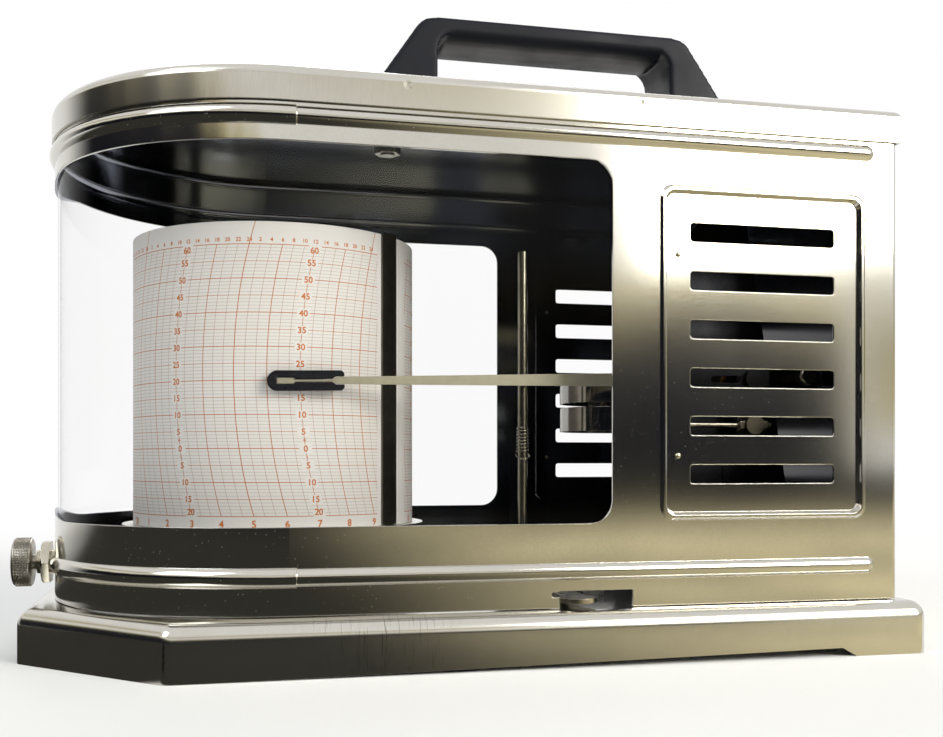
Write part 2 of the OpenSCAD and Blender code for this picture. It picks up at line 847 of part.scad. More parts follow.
module fixed_wheel() {
    color("#c8a24a") from_drum() translate([0, 0, wheel_low]) difference() {
        rotate([0, 0, 180]) linear_extrude(wheel_t) polygon(wheel_outline(wheel_teeth));
        translate([0, 0, -lap]) cylinder(d = boss_d + 2 * run_fit, h = wheel_t + 2 * lap);
    }
}

module drum_nut() {
    color("#c8a24a") from_drum() translate([0, 0, bush_top + free_gap]) difference() {
        knurled(drum_nut_d, drum_nut_h, 30, knurl_h);
        translate([0, 0, -lap]) cylinder(d = spindle_d + 2 * run_fit, h = drum_nut_h + 2 * lap);
    }
}

module drum_can() {
    color("#c4c4c0") from_drum() difference() {
        translate([0, 0, drum_low]) cylinder(r = can_r, h = drum_h);
        translate([0, 0, drum_low - lap]) cylinder(r = can_r - drum_wall, h = drum_h - drum_wall + lap);
        translate([0, 0, drum_top - 2 * lap]) cylinder(d = bush_d + 2 * lay_gap, h = 4 * lap);
        translate([0, key_y, drum_top - 2 * lap]) cylinder(d = key_arbor_d + 2 * bolt_fit, h = 4 * lap);
    }
}

bar_in = chart_r + lay_gap;
bar_t = 0.4;
bar_rib_out = 0.2;
bar_out = bar_in + bar_t + bar_rib_out;
tongue_w = 5;

// Degrees that a length takes up on a circle
function turn_of(length, r) = 180 * length / (PI * r);

// A profile turned through an angle, centred on a direction
module curved_piece(turn, span) {
    rotate([0, 0, turn - span / 2]) rotate_extrude(angle = span) children();
}

// Part of a ring, as wide as a length and centred on a direction
module curved_strip(turn, width, inner, outer, low, high) {
    curved_piece(turn, turn_of(width, inner)) translate([inner, low]) square([outer - inner, high - low]);
}

module drum_base() {
    color("#b9b6ad") from_drum() difference() {
        translate([0, 0, drum_low - flange_t]) cylinder(d = flange_d, h = flange_t);
        translate([0, 0, drum_low - flange_t - lap])
            cylinder(d = bush_d + 2 * lay_gap, h = flange_t + 2 * lap);
        rotate([0, 0, 180]) translate([drive_distance, 0, drum_low - flange_t - lap])
            cylinder(d = pinion_arbor_d + 4 * bolt_fit, h = flange_t + 2 * lap);
        curved_strip(
            bar_turn, tongue_w + 2 * free_gap, bar_in - free_gap, bar_in + bar_t + free_gap,
            drum_low - flange_t - lap, drum_low + lap
        );
    }
}

module drum_bush() {
    color("#c8a24a") from_drum() translate([0, 0, bush_low]) difference() {
        cylinder(d = bush_d, h = bush_top - bush_low);
        translate([0, 0, -lap]) cylinder(r = drum_centre_bore, h = bush_top - bush_low + 2 * lap);
    }
}

module clock_case() {
    color("#c8a24a") from_drum() difference() {
        translate([0, 0, clock_bottom]) cylinder(r = clock_r, h = clock_h);
        translate([0, 0, clock_bottom - lap]) cylinder(d = bush_d + 2 * lay_gap, h = clock_h + 2 * lap);
        rotate([0, 0, 180]) translate([drive_distance, 0, clock_bottom - lap])
            cylinder(d = pinion_arbor_d + 2 * run_fit, h = clock_h / 4 + lap);
        translate([0, key_y, clock_bottom + clock_h * 3 / 4])
            cylinder(d = key_arbor_d + 2 * run_fit, h = clock_h);
    }
}

module chart_paper() {
    open_turn = turn_of(bar_w / 4, chart_r);
    color("#efe9e0") from_drum() rotate([0, 0, bar_turn + open_turn / 2])
        rotate_extrude(angle = 360 - open_turn)
        translate([chart_r - chart_t, drum_low + lay_gap]) square([chart_t, drum_h - 2 * lay_gap]);
}

// Spring steel bar that holds the chart's ends, hooked over the drum's rim
module clamp_bar() {
    foot = drum_low - flange_t;
    hook_low = drum_top + free_gap;
    hook_in = bar_in - 3 * bar_t;
    side_w = (bar_w - tongue_w) / 2 + lap;
    color("#6f6e6a") from_drum() {
        difference() {
            curved_piece(bar_turn, turn_of(bar_w, bar_in)) polygon([
                [bar_in, foot], [bar_in + bar_t, foot], [bar_in + bar_t, hook_low + bar_t],
                [hook_in, hook_low + bar_t], [hook_in, hook_low], [bar_in, hook_low]
            ]);
            for (side = [-1, 1])
                curved_strip(
                    bar_turn + side * turn_of(tongue_w + side_w, bar_in) / 2, side_w,
                    bar_in - lap, bar_in + bar_t + lap, foot - lap, drum_low + free_gap
                );
        }
        curved_strip(
            bar_turn - turn_of(bar_w - bar_t, bar_in) / 2, bar_t,
            bar_in + bar_t / 2, bar_out, drum_low + 2 * free_gap, hook_low
        );
    }
}

module drive_pinion() {
    color("#b9b6ad") from_drum() rotate([0, 0, 180])
        translate([drive_distance, 0, wheel_low + (wheel_t - pinion_t) / 2]) {
        rotate([0, 0, 180 - 180 / pinion_teeth]) linear_extrude(pinion_t)
            polygon(wheel_outline(pinion_teeth));
        cylinder(d = pinion_arbor_d, h = clock_bottom - wheel_low + clock_h / 5);
    }
}

module winding_key() {
    key_low = clock_bottom + clock_h * 4 / 5;
    color("#c8a24a") from_drum() translate([0, key_y, 0]) {
        translate([0, 0, key_low]) cylinder(d = key_arbor_d, h = drum_top + key_lift + key_t / 2 - key_low);
        translate([0, 0, drum_top + key_lift]) knurled(key_d, key_t, 24, knurl_h);
    }
}

// The mechanism

frame_rise = 132;
frame_slope_share = 0.166;
frame_foot_reach = 27;
frame_foot_right = axle_x + frame_foot_reach;
frame_clip_x = 9;
frame_clip_z = 12;
rear_plate_in = 4;
rear_plate_w = 26;
rear_plate_past = 12;
stiffener_w = 2.6;
stiffener_side = 3;
stiffener_out = 0.5;
ear_lift = 1.9;
ear_z = axle_z + ear_lift;
ear_h = 12.5;
ear_reach = 33.5;
zero_side = 21.9;
zero_x = axle_x + zero_side;
zero_lock_side = 29.2;
zero_lock_x = axle_x + zero_lock_side;
zero_front = 46;
zero_tail = 2;
zero_shaft_d = 3;
bush_outer_d = 6;
bush_rim = 1;

// Bent steel frame: a tall front plate with a sloping edge, a foot and a low rear plate
module mechanism_frame() {
    top = tray_h + frame_rise;
    rear_top = axle_z + rear_plate_past;
    color("#3b3c40") from_drum() difference() {
        union() {
            to_front([0, plate_t - frame_front, 0]) linear_extrude(plate_t) polygon([
                [frame_left, tray_h], [frame_foot_right, tray_h],
                [frame_foot_right - frame_slope_share * frame_rise, top],
                [frame_left + frame_clip_x, top], [frame_left, top - frame_clip_z]
            ]);
            to_front([axle_x, plate_t - frame_front, ear_z - ear_h / 2]) linear_extrude(plate_t)
                square([ear_reach, ear_h]);
            to_front([axle_x - stiffener_side, plate_t - frame_front, tray_h])
                linear_extrude(plate_t + stiffener_out)
                square([stiffener_w, axle_rise - frame_clip_z]);
            translate([frame_left, -frame_front, tray_h])
                cube([frame_foot_right - frame_left, frame_front - frame_back, plate_t]);
            to_front([frame_left + rear_plate_in, -frame_back, tray_h]) linear_extrude(plate_t)
                square([rear_plate_w, rear_top - tray_h]);
        }
        to_front([axle_x, 0, axle_z]) cylinder(d = bush_outer_d + 2 * run_fit, h = frame_front + lap);
        for (x = [zero_x, zero_lock_x])
            to_front([x, plate_t + lap - frame_front, ear_z])
                cylinder(d = zero_shaft_d + 2 * run_fit, h = plate_t + 2 * lap);
        for (p = base_screw_places())
            translate([p[0], p[1], tray_h - lap])
                cylinder(d = base_screw_d + 2 * bolt_fit, h = plate_t + 2 * lap);
    }
}

module axle_bushes() {
    color("#c8a24a") from_drum()
        for (place = [frame_front + bush_flange_t, frame_back + plate_t + bush_flange_t])
        to_front([axle_x, -(place - plate_t - 2 * bush_flange_t), axle_z]) difference() {
            union() {
                cylinder(d = bush_outer_d, h = plate_t + 2 * bush_flange_t);
                translate([0, 0, plate_t + bush_flange_t])
                    cylinder(d = bush_outer_d + 2 * bush_rim, h = bush_flange_t);
            }
            translate([0, 0, -lap])
                cylinder(d = axle_d + 2 * run_fit, h = plate_t + 2 * bush_flange_t + 2 * lap);
        }
}

module front_thumb_screw(x, head_d, head_t) {
    to_front([x, zero_tail + plate_t - frame_front, ear_z])
        cylinder(d = zero_shaft_d, h = zero_front - frame_front + plate_t + zero_tail);
    to_front([x, head_t - zero_front, ear_z]) knurled(head_d, head_t, 28, knurl_h);
}

module zero_screw() {
    head_d = 6.6;
    head_t = 5;
    color("#b0a98c") from_drum() front_thumb_screw(zero_x, head_d, head_t);
}

module zero_lock() {
    head_d = 7.2;
    head_t = 4;
    color("#7d7a70") from_drum() front_thumb_screw(zero_lock_x, head_d, head_t);
}

module pen_axle() {
    tail_y = frame_back - axle_tail;
    color("#b9b6ad") from_drum()
        to_front([axle_x, -tail_y, axle_z])
            cylinder(d = axle_d, h = gate_y - gate_pin_d / 2 - lay_gap - tail_y);
}

module crank() {
    hub_d = 8;
    crank_w = 6;
    web_w = 0.8 * crank_w;
    color("#5c5d61") from_drum() difference() {
        union() {
            to_front([axle_x, crank_hub + crank_t - crank_front, axle_z])
                cylinder(d = hub_d, h = crank_t + crank_hub);
            to_front([axle_x, crank_t - crank_front, axle_z]) cylinder(d = crank_w, h = crank_t);
            to_front([link_pivot_x, crank_t - crank_front, link_z]) cylinder(d = crank_w, h = crank_t);
            to_front([axle_x, crank_t - crank_front, axle_z])
                rotate([0, 0, -90 + atan2(crank_lean, crank_len)])
                translate([0, -web_w / 2, 0]) cube([norm([crank_lean, crank_len]), web_w, crank_t]);
        }
        to_front([axle_x, -frame_front, axle_z]) cylinder(d = axle_d + 2 * run_fit, h = crank_front);
        to_front([link_pivot_x, -frame_front, link_z])
            cylinder(d = swivel_pin_d + 2 * run_fit, h = crank_front);
    }
}

swivel_pin_d = 3;

// Frame of the arm's own pieces: from the axle, -X runs down the arm to the pen
module on_arm() {
    from_drum() translate([axle_x, 0, axle_z]) rotate([0, -arm_tilt, 0]) children();
}

// Block on the axle's front end that carries the arm's upright hinge pin
module gate_block() {
    color("#4a4b50") on_arm() difference() {
        translate([-block_w / 2, -block_front, -block_h / 2])
            cube([block_w, block_front - block_back, block_h]);
        to_front([0, lap - block_back, 0])
            cylinder(d = axle_d + 2 * run_fit, h = gate_y - gate_pin_d / 2 - block_back + lap);
        translate([0, -gate_y, -block_h]) cylinder(d = gate_pin_d + 2 * run_fit, h = 2 * block_h);
    }
}

// A flat piece of the arm, drawn in X and Z and facing the front
module arm_flat(front, t) {
    to_front([0, t - front, 0]) linear_extrude(t) children();
}

module arm_root() {
    slot_far = 15.8;
    slot_near = 4.9;
    slot_hole = 2.3;
    root_past = 1;
    rear = arm_y - root_t;
    color("#5a5240") on_arm() difference() {
        union() {
            arm_flat(arm_y, root_t) translate([-root_reach, -root_h / 2])
                square([root_reach + block_w / 2 + root_past, root_h]);
            arm_flat(arm_y, root_t) translate([-block_w / 2, -block_h / 2 - free_gap - ear_t])
                square([block_w, block_h + 2 * (free_gap + ear_t)]);
            for (side = [-1, 1])
                translate([
                    -block_w * 3 / 8, -rear - lay_gap, side * (block_h / 2 + free_gap + ear_t / 2) - ear_t / 2
                ])
                    cube([block_w * 3 / 4, rear + lay_gap - block_back - gate_pin_d / 2, ear_t]);
        }
        arm_flat(arm_y + lap, root_t + 2 * lap) {
            translate([-slot_far + slot_hole / 2, -slot_hole / 2])
                square([slot_far - slot_near - slot_hole, slot_hole]);
            for (x = [slot_far - slot_hole / 2, slot_near + slot_hole / 2])
                translate([-x, 0]) circle(d = slot_hole);
            circle(d = swivel_pin_d + 2 * run_fit);
        }
        translate([0, -gate_y, -block_h]) cylinder(d = gate_pin_d + 2 * run_fit, h = 2 * block_h);
    }
}

blade_overlap = 12;
pen_back = 1.2;

// Long tapered strip; its narrow end is the waisted tab that the pen slides on
module arm_blade() {
    neck = arm_len + pen_back - pen_len;
    near = root_reach - blade_overlap;
    // Outline of the tab: shares of the pen's length past its mouth and of the strip's half height
    tab_shares = [[0.04, 0.85], [0.17, 0.5], [0.56, 0.5], [0.62, 0.85], [0.8, 0.85]];
    upper = concat(
        [[-near, arm_root_h / 2], [-neck, arm_tip_h / 2]],
        [for (p = tab_shares) [-neck - p[0] * pen_len, p[1] * arm_tip_h / 2]]
    );
    color("#c9bd95") on_arm() arm_flat(arm_y - root_t, blade_t)
        polygon(concat(upper, [for (i = [len(upper) - 1:-1:0]) [upper[i][0], -upper[i][1]]]));
}

module arm_screw() {
    head_t = 1.8;
    head_d = 8.2;
    color("#1f1f22") on_arm() {
        to_front([0, -arm_y, 0]) cylinder(d = head_d, h = head_t);
        to_front([0, blade_t / 2 + root_t - arm_y, 0]) cylinder(d = swivel_pin_d, h = root_t + blade_t);
    }
}

module gate_pin() {
    pin_past = 0.4;
    over = block_h / 2 + free_gap + ear_t + pin_past;
    color("#b9b6ad") on_arm() translate([0, -gate_y, -over]) cylinder(d = gate_pin_d, h = 2 * over);
}

// Moulded pen: a hairpin that slides over the blade's tab, with its nib towards the drum
module pen_cartridge() {
    pen_t = 2;
    pen_step = 0.6;
    left = arm_len + pen_back;
    leg_gap = arm_tip_h + lay_gap;
    front = arm_y - root_t + pen_step;
    nib_end = bar_out + free_gap / 2;
    nib_d = 1.6;
    nib_in = 0.6;
    nib_h = front - pen_t - nib_end + lay_gap;
    color("#17181c") on_arm() {
        difference() {
            arm_flat(front, pen_t) {
                translate([pen_h / 2 - left, 0]) circle(d = pen_h);
                translate([pen_h / 2 - left, -pen_h / 2]) square([pen_len - pen_h / 2, pen_h]);
            }
            arm_flat(front + lap, pen_t + 2 * lap)
                translate([pen_h * 2 / 3 - left, -leg_gap / 2]) square([pen_len, leg_gap]);
        }
        to_front([nib_in - arm_len, -nib_end, 0]) cylinder(d1 = nib_d / 2, d2 = nib_d, h = nib_h);
    }
}

// Link rod with its eye at the bimetal end, threaded through the swivel
module link_rod() {
    eye_d = 5;
    pin_bore = 2.4;
    eye_t = 2;
    rod_past = 6.8;
    bury = eye_t / 4;
    color("#b9b6ad") from_drum() {
        difference() {
            union() {
                to_front([eye_x, eye_t / 2 - link_y, link_z]) cylinder(d = eye_d, h = eye_t);
                along_x([eye_x, -link_y, link_z]) cylinder(d = link_d, h = eye_d / 2 + bury);
            }
            to_front([eye_x, eye_t - link_y, link_z]) cylinder(d = pin_bore, h = 2 * eye_t);
        }
        along_x([eye_x + eye_d / 2, -link_y, link_z])
            cylinder(d = link_d, h = link_pivot_x + rod_past - eye_x - eye_d / 2);
    }
}

module link_swivel() {
    back = crank_front + free_gap;
    stub_past = 0.7;
    color("#d8d8d6") from_drum() difference() {
        union() {
            to_front([link_pivot_x, -back, link_z]) cylinder(d = swivel_d, h = swivel_front - back);
            to_front([link_pivot_x, crank_t + stub_past - crank_front, link_z])
                cylinder(d = swivel_pin_d, h = back - crank_front + crank_t + 2 * stub_past);
        }
        along_x([link_pivot_x - swivel_d, -link_y, link_z])
            cylinder(d = link_d + 2 * run_fit, h = 2 * swivel_d);
    }
}

module link_nuts() {
    link_nut_t = 1.8;
    color("#d8d8d6") from_drum() for (side = [-1, 1])
        along_x([
            link_pivot_x + side * (swivel_d / 2 + lay_gap + link_nut_t / 2) - link_nut_t / 2, -link_y, link_z
        ]) difference() {
            hexagon(2 * link_d, link_nut_t);
            translate([0, 0, -lap]) cylinder(d = link_d + 2 * run_fit, h = link_nut_t + 2 * lap);
        }
}

// The bimetal element

module band(z) {
    hole_d = 3.3;
    color("#8d8b86") from_drum() translate([ring_x, ring_y, z]) difference() {
        rotate([0, 0, ring_fixed]) rotate_extrude(angle = 360 - ring_open - ring_fixed)
            translate([ring_r - band_t, 0]) square([band_t, band_h]);
        rotate([0, 0, ring_fixed + clamp_turn]) along_x([ring_r - 2 * band_t, 0, band_h / 2])
            cylinder(d = hole_d, h = 4 * band_t);
    }
}

clamp_turn = 9;

module lower_bimetal() {
    band(ring_z);
}

module upper_bimetal() {
    band(ring_z + band_h + band_gap);
}

// Frame at the fixed end of the rings: +X points out of the ring
module at_fixed_end() {
    from_drum() translate([ring_x, ring_y, 0]) rotate([0, 0, ring_fixed + clamp_turn]) children();
}

post_t = 5;
post_w = 7;

module bimetal_post() {
    post_past = 1;
    foot = tray_h + post_foot_t / 2;
    top = ring_z + 2 * band_h + band_gap + post_past;
    color("#4a4b50") difference() {
        union() {
            at_fixed_end() translate([ring_r + lay_gap / 2, -post_w / 2, foot])
                cube([post_t, post_w, top - foot]);
            from_drum() translate([post_foot_x - post_foot_w / 2, post_foot_y - post_foot_deep / 2, tray_h])
                cube([post_foot_w, post_foot_deep, post_foot_t]);
        }
        for (z = [ring_z + band_h / 2, ring_z + band_h * 1.5 + band_gap])
            at_fixed_end() along_x([ring_r - lap, 0, z])
                cylinder(d = clamp_screw_d + 2 * run_fit, h = post_t + 2 * lap);
        from_drum() for (p = base_screw_places())
            translate([p[0], p[1], tray_h - lap])
                cylinder(d = base_screw_d + 2 * bolt_fit, h = post_foot_t + 2 * lap);
    }
}

clamp_screw_d = 3;
clamp_plate_t = 1.5;

module bimetal_clamp() {
    inner = ring_r - band_t - lay_gap / 2 - clamp_plate_t;
    span = turn_of(post_w, ring_r);
    color("#5c5d61") difference() {
        at_fixed_end() rotate([0, 0, -span / 2]) rotate_extrude(angle = span)
            translate([inner, ring_z]) square([clamp_plate_t, 2 * band_h + band_gap]);
        for (z = [ring_z + band_h / 2, ring_z + band_h * 1.5 + band_gap])
            at_fixed_end() along_x([inner - lap, 0, z])
                cylinder(d = clamp_screw_d + 2 * run_fit, h = clamp_plate_t + 2 * lap);
    }
}

module clamp_screws() {
    head_t = 1.8;
    head_d = 1.8 * clamp_screw_d;
    face = sqrt(pow(ring_r - band_t - lay_gap / 2 - clamp_plate_t, 2) - pow(head_d / 2, 2));
    shaft = ring_r + post_t - face;
    color("#a8a59c") at_fixed_end() for (z = [ring_z + band_h / 2, ring_z + band_h * 1.5 + band_gap])
        translate([face - lay_gap / 2, 0, z]) rotate([0, -90, 0])
            slotted_screw(head_d, head_t, clamp_screw_d, shaft);
}

// Clip on the rings' moving end, with the pin that the link rod's eye hangs on
module bimetal_clip() {
    pin_d = 1.2;
    pin_len = 4.6;
    clip_side = eye_side - clip_w * 2 / 5;
    color("#b9b6ad") from_drum() {
        translate([ring_x + clip_side, -clip_front, ring_z + lay_gap])
            cube([clip_w, clip_t, 2 * (band_h - lay_gap) + band_gap]);
        to_front([eye_x, clip_t / 2 - clip_front, link_z + pin_lift])
            cylinder(d = pin_d, h = pin_len + clip_t / 2);
    }
}

// The lock bracket and the pen lifter

module lock_bracket() {
    slot_w = tip_d + 2 * free_gap;
    color("#5c5d61") from_drum() difference() {
        union() {
            translate([bracket_face, -bracket_half, tray_h])
                cube([bracket_t, 2 * bracket_half, lock_z + bracket_past - tray_h]);
            translate([bracket_face, -bracket_half, tray_h])
                cube([bracket_t + bracket_foot, 2 * bracket_half, bracket_t]);
        }
        along_x([bracket_face - lap, 0, lock_z]) cylinder(d = slot_w, h = bracket_t + 2 * lap);
        translate([bracket_face - lap, -slot_w / 2, lock_z])
            cube([bracket_t + 2 * lap, slot_w, bracket_past + lap]);
        for (p = base_screw_places())
            translate([p[0], p[1], tray_h - lap])
                cylinder(d = base_screw_d + 2 * bolt_fit, h = bracket_t + 2 * lap);
    }
}

module lifter_post() {
    below = 1;
    above = 1.5;
    low = tray_h - tray_sheet - below;
    color("#b9b6ad") from_drum() translate([pivot_x, rod_y, 0]) {
        translate([0, 0, low]) cylinder(d = post_d, h = lever_low + lever_t + above - low);
        translate([0, 0, tray_h]) cylinder(d = 2 * post_d, h = lever_low - lay_gap - tray_h);
    }
}

module lifter_washer() {
    thick = 0.8;
    color("#8f8c84") from_drum() translate([pivot_x, rod_y, lever_low + lever_t + lay_gap])
        ring(1.8 * post_d, post_d + 2 * run_fit, thick);
}

// Flat lever on the post: one arm carries the rod, the other ends in the finger disc
module lifter_lever() {
    arm_w = 7;
    color("#b9b6ad") from_drum() translate([0, 0, lever_low]) difference() {
        union() {
            translate([pivot_x, rod_y, 0]) cylinder(d = 1.9 * post_d, h = lever_t);
            translate([rod_x, rod_y, 0]) cylinder(d = 2 * rod_d, h = lever_t);
            translate([rod_x, rod_y - 0.8 * rod_d, 0]) cube([lifter_reach, 1.6 * rod_d, lever_t]);
            translate([pivot_x - arm_w / 2, disc_y, 0]) cube([arm_w, rod_y - disc_y, lever_t]);
            translate([pivot_x, disc_y, 0]) cylinder(d = disc_d, h = lever_t);
        }
        translate([pivot_x, rod_y, -lap]) cylinder(d = post_d + 2 * run_fit, h = lever_t + 2 * lap);
        translate([rod_x, rod_y, -lap]) cylinder(d = rod_d + 2 * run_fit, h = lever_t + 2 * lap);
    }
}

module lifter_rod() {
    color("#a89f80") from_drum() translate([rod_x, rod_y, lever_low])
        cylinder(d = rod_d, h = tray_h + rod_top_rise - lever_low);
}

// Centre line of the rod's spring: close curls, then one wide open loop at the bottom
coil_gap = 0.05;
curl_rings = 8;
coil_r = (rod_d / 2 + wire_d / 2 + coil_gap) / cos(180 / curl_rings);
loop_r = coil_r + wire_d;
spring_rings = (spring_curls + 1) * curl_rings;
spring_z = tray_h + spring_low_rise;
function spring_point(i) =
    let (
        a = 360 * i / curl_rings - 90,
        in_loop = max(0, 1 - i / curl_rings),
        r = coil_r + (loop_r - coil_r) * in_loop
    )
    [r * cos(a) - (loop_r - coil_r) * in_loop / 2, r * sin(a), curl_pitch * i / curl_rings];
spring_line = [for (i = [0:spring_rings]) spring_point(i)];
spring_gap = min([
    for (i = [0:spring_rings])
        for (j = [i + curl_rings / 2:1:spring_rings])
            norm(spring_line[i] - spring_line[j])
]) - wire_d;
echo(spring_gap = spring_gap);

// Tube swept along a line of points, closed at both ends
function tube_points(line, d, sides) = [
    for (i = [0:len(line) - 1])
        let (
            before = line[max(0, i - 1)],
            after = line[min(len(line) - 1, i + 1)],
            along = (after - before) / norm(after - before),
            side_raw = cross(along, [0, 0, 1]),
            side_unit = side_raw / norm(side_raw),
            up_unit = cross(side_unit, along)
        )
        for (k = [0:sides - 1])
            line[i] + d / 2 * (cos(360 * k / sides) * side_unit + sin(360 * k / sides) * up_unit)
];
function tube_faces(rings, sides) = concat(
    [[for (k = [0:sides - 1]) k]],
    [
        for (i = [0:rings - 2])
            for (k = [0:sides - 1])
                let (a = i * sides + k, b = i * sides + (k + 1) % sides)
                each [[a, a + sides, b], [b, a + sides, b + sides]]
    ],
    [[for (k = [sides - 1:-1:0]) (rings - 1) * sides + k]]
);

module lifter_spring() {
    sides = 6;
    color("#b9b093") from_drum() translate([rod_x, rod_y, spring_z])
        polyhedron(tube_points(spring_line, wire_d, sides), tube_faces(len(spring_line), sides));
}

tray();
tray_pads();
spindle();
spindle_nut();
fixed_wheel();
drum_nut();
mechanism_frame();
axle_bushes();
base_screws();
zero_lock();
bimetal_post();
bimetal_clamp();
clamp_screws();
lower_bimetal();
upper_bimetal();
lock_bracket();
lifter_post();
lifter_washer();
case_shell();
lid();
window_pane();
handle();
handle_studs();
handle_washers();
handle_nuts();
panel_rivets();
lock_bush();
lock_nut();
lock_stem();
lock_knob();
drum_can();
drum_base();
drum_bush();
clock_case();
chart_paper();
clamp_bar();
drive_pinion();
winding_key();
pen_axle();
gate_block();
crank();
arm_root();
arm_blade();
arm_screw();
gate_pin();
pen_cartridge();
link_rod();
link_swivel();
link_nuts();
bimetal_clip();
lifter_lever();
lifter_rod();
lifter_spring();
zero_screw();
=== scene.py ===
import math

import bmesh
import bpy
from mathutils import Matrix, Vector


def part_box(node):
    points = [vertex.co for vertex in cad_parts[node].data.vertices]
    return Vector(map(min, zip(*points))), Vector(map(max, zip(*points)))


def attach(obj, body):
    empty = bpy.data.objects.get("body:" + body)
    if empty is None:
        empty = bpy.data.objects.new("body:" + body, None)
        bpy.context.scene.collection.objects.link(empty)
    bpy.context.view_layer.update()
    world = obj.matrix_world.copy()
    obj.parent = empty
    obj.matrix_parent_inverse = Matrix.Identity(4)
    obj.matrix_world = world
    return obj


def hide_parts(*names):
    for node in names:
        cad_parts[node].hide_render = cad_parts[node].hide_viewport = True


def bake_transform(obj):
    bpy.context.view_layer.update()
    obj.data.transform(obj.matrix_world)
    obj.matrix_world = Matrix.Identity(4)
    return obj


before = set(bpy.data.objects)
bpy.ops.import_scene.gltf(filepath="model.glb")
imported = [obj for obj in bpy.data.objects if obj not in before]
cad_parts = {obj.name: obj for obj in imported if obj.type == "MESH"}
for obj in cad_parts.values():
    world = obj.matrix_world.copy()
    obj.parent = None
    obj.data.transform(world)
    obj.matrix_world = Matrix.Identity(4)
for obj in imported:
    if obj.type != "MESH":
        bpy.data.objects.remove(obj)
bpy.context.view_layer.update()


# The tray is a shallow pan pressed from 1.2 mm stainless sheet. Its rounded edges come from
# the press tool, the two cut-off corners at the left are folded and closed by a spot of weld,
# and the cold-rolled surface is left bright, with scratches from years on a shelf.
def linear(hex_colour):
    """The linear colour, with full opacity, that a hex text stands for."""
    shares = [int(hex_colour[i : i + 2], 16) / 255 for i in (1, 3, 5)]
    return tuple(s / 12.92 if s <= 0.04045 else ((s + 0.055) / 1.055) ** 2.4 for s in shares) + (1.0,)


def add_node(tree, kind, inputs=(), **settings):
    node = tree.nodes.new(kind)
    for name, value in settings.items():
        setattr(node, name, value)
    for key, value in dict(inputs).items():
        if isinstance(value, bpy.types.NodeSocket):
            tree.links.new(value, node.inputs[key])
        else:
            node.inputs[key].default_value = value
    return node


def sum_of(tree, operation, *terms):
    return add_node(tree, "ShaderNodeMath", dict(enumerate(terms)), operation=operation).outputs[0]


def ranged(tree, value, low, high, to_low=0.0, to_high=1.0, kind="LINEAR"):
    limits = {"Value": value, "From Min": low, "From Max": high, "To Min": to_low, "To Max": to_high}
    return add_node(tree, "ShaderNodeMapRange", limits, interpolation_type=kind).outputs[0]


def vector_of(tree, operation, *terms):
    """What the vector terms give: a vector, or a number for a length, a distance or a dot product."""
    node = add_node(tree, "ShaderNodeVectorMath", dict(enumerate(terms)), operation=operation)
    return node.outputs["Value" if operation in ("LENGTH", "DISTANCE", "DOT_PRODUCT") else 0]


def parts_of(tree, vector):
    return tuple(add_node(tree, "ShaderNodeSeparateXYZ", {0: vector}).outputs)


def own_place(tree):
    """Where a point lies in the object's own frame, in metres."""
    return add_node(tree, "ShaderNodeTexCoord").outputs["Object"]


def between(tree, share, first, second):
    """A number that goes from the first to the second as the share goes from 0 to 1."""
    return add_node(
        tree, "ShaderNodeMix", {0: share, 2: first, 3: second}, data_type="FLOAT"
    ).outputs[0]


def blended(tree, share, first, second, kind="MIX"):
    """A mix of two colours, each a hex text, a colour or a socket."""
    first, second = (linear(c) if isinstance(c, str) else c for c in (first, second))
    return add_node(
        tree, "ShaderNodeMix", {0: share, 6: first, 7: second}, data_type="RGBA", blend_type=kind
    ).outputs[2]


def noise_at(tree, place, scale, detail, **more):
    """A noise whose patches are 1 / scale metres wide."""
    return add_node(
        tree, "ShaderNodeTexNoise", {"Vector": place, "Scale": scale, "Detail": detail, **more}
    ).outputs[0]


def start_finish(name, **sockets):
    finish = bpy.data.materials.new(name)
    finish.use_nodes = True
    tree = finish.node_tree
    tree.nodes.clear()
    shader = add_node(tree, "ShaderNodeBsdfPrincipled", {k.replace("_", " "): v for k, v in sockets.items()})
    add_node(tree, "ShaderNodeOutputMaterial", {"Surface": shader.outputs[0]})
    return finish, tree, shader


def metal_finish(name, colour, shade, roughness, grain=(0.4, 0.4, 0.4), mottle=9.0, bump=0.012, edge=0.25):
    """A metal with two tones of colour, a grain of the given size in mm and softly broken edges."""
    finish, tree, shader = start_finish(name, Metallic=1.0)
    place = own_place(tree)
    fine = add_node(
        tree, "ShaderNodeMapping", {"Vector": place, "Scale": tuple(1000 / g for g in grain)}
    ).outputs[0]
    grain_noise = noise_at(tree, fine, 1.0, 3.0)
    patch_noise = noise_at(tree, place, 1000 / mottle, 4.0, Roughness=0.6)
    both = between(tree, 0.35, patch_noise, grain_noise)
    tone = ranged(tree, both, 0.35, 0.65)
    tint = blended(tree, tone, shade, colour)
    rough = ranged(tree, both, 0.3, 0.7, roughness * 1.1, roughness * 0.9)
    rounded = add_node(tree, "ShaderNodeBevel", {"Radius": edge / 1000}, samples=4).outputs[0]
    relief = add_node(
        tree, "ShaderNodeBump",
        {"Strength": 0.6, "Distance": bump / 1000, "Height": grain_noise, "Normal": rounded},
    ).outputs[0]
    for socket, value in (("Base Color", tint), ("Roughness", rough), ("Normal", relief)):
        tree.links.new(value, shader.inputs[socket])
    return finish, tree, shader, {"place": place, "tint": tint, "rough": rough, "relief": relief}


def mesh_of(shape, name):
    mesh = bpy.data.meshes.new(name)
    shape.to_mesh(mesh)
    shape.free()
    return mesh


def add_object(name, data):
    piece = bpy.data.objects.new(name, data)
    bpy.context.collection.objects.link(piece)
    return piece


def give_only(mesh, finish):
    mesh.materials.clear()
    mesh.materials.append(finish)


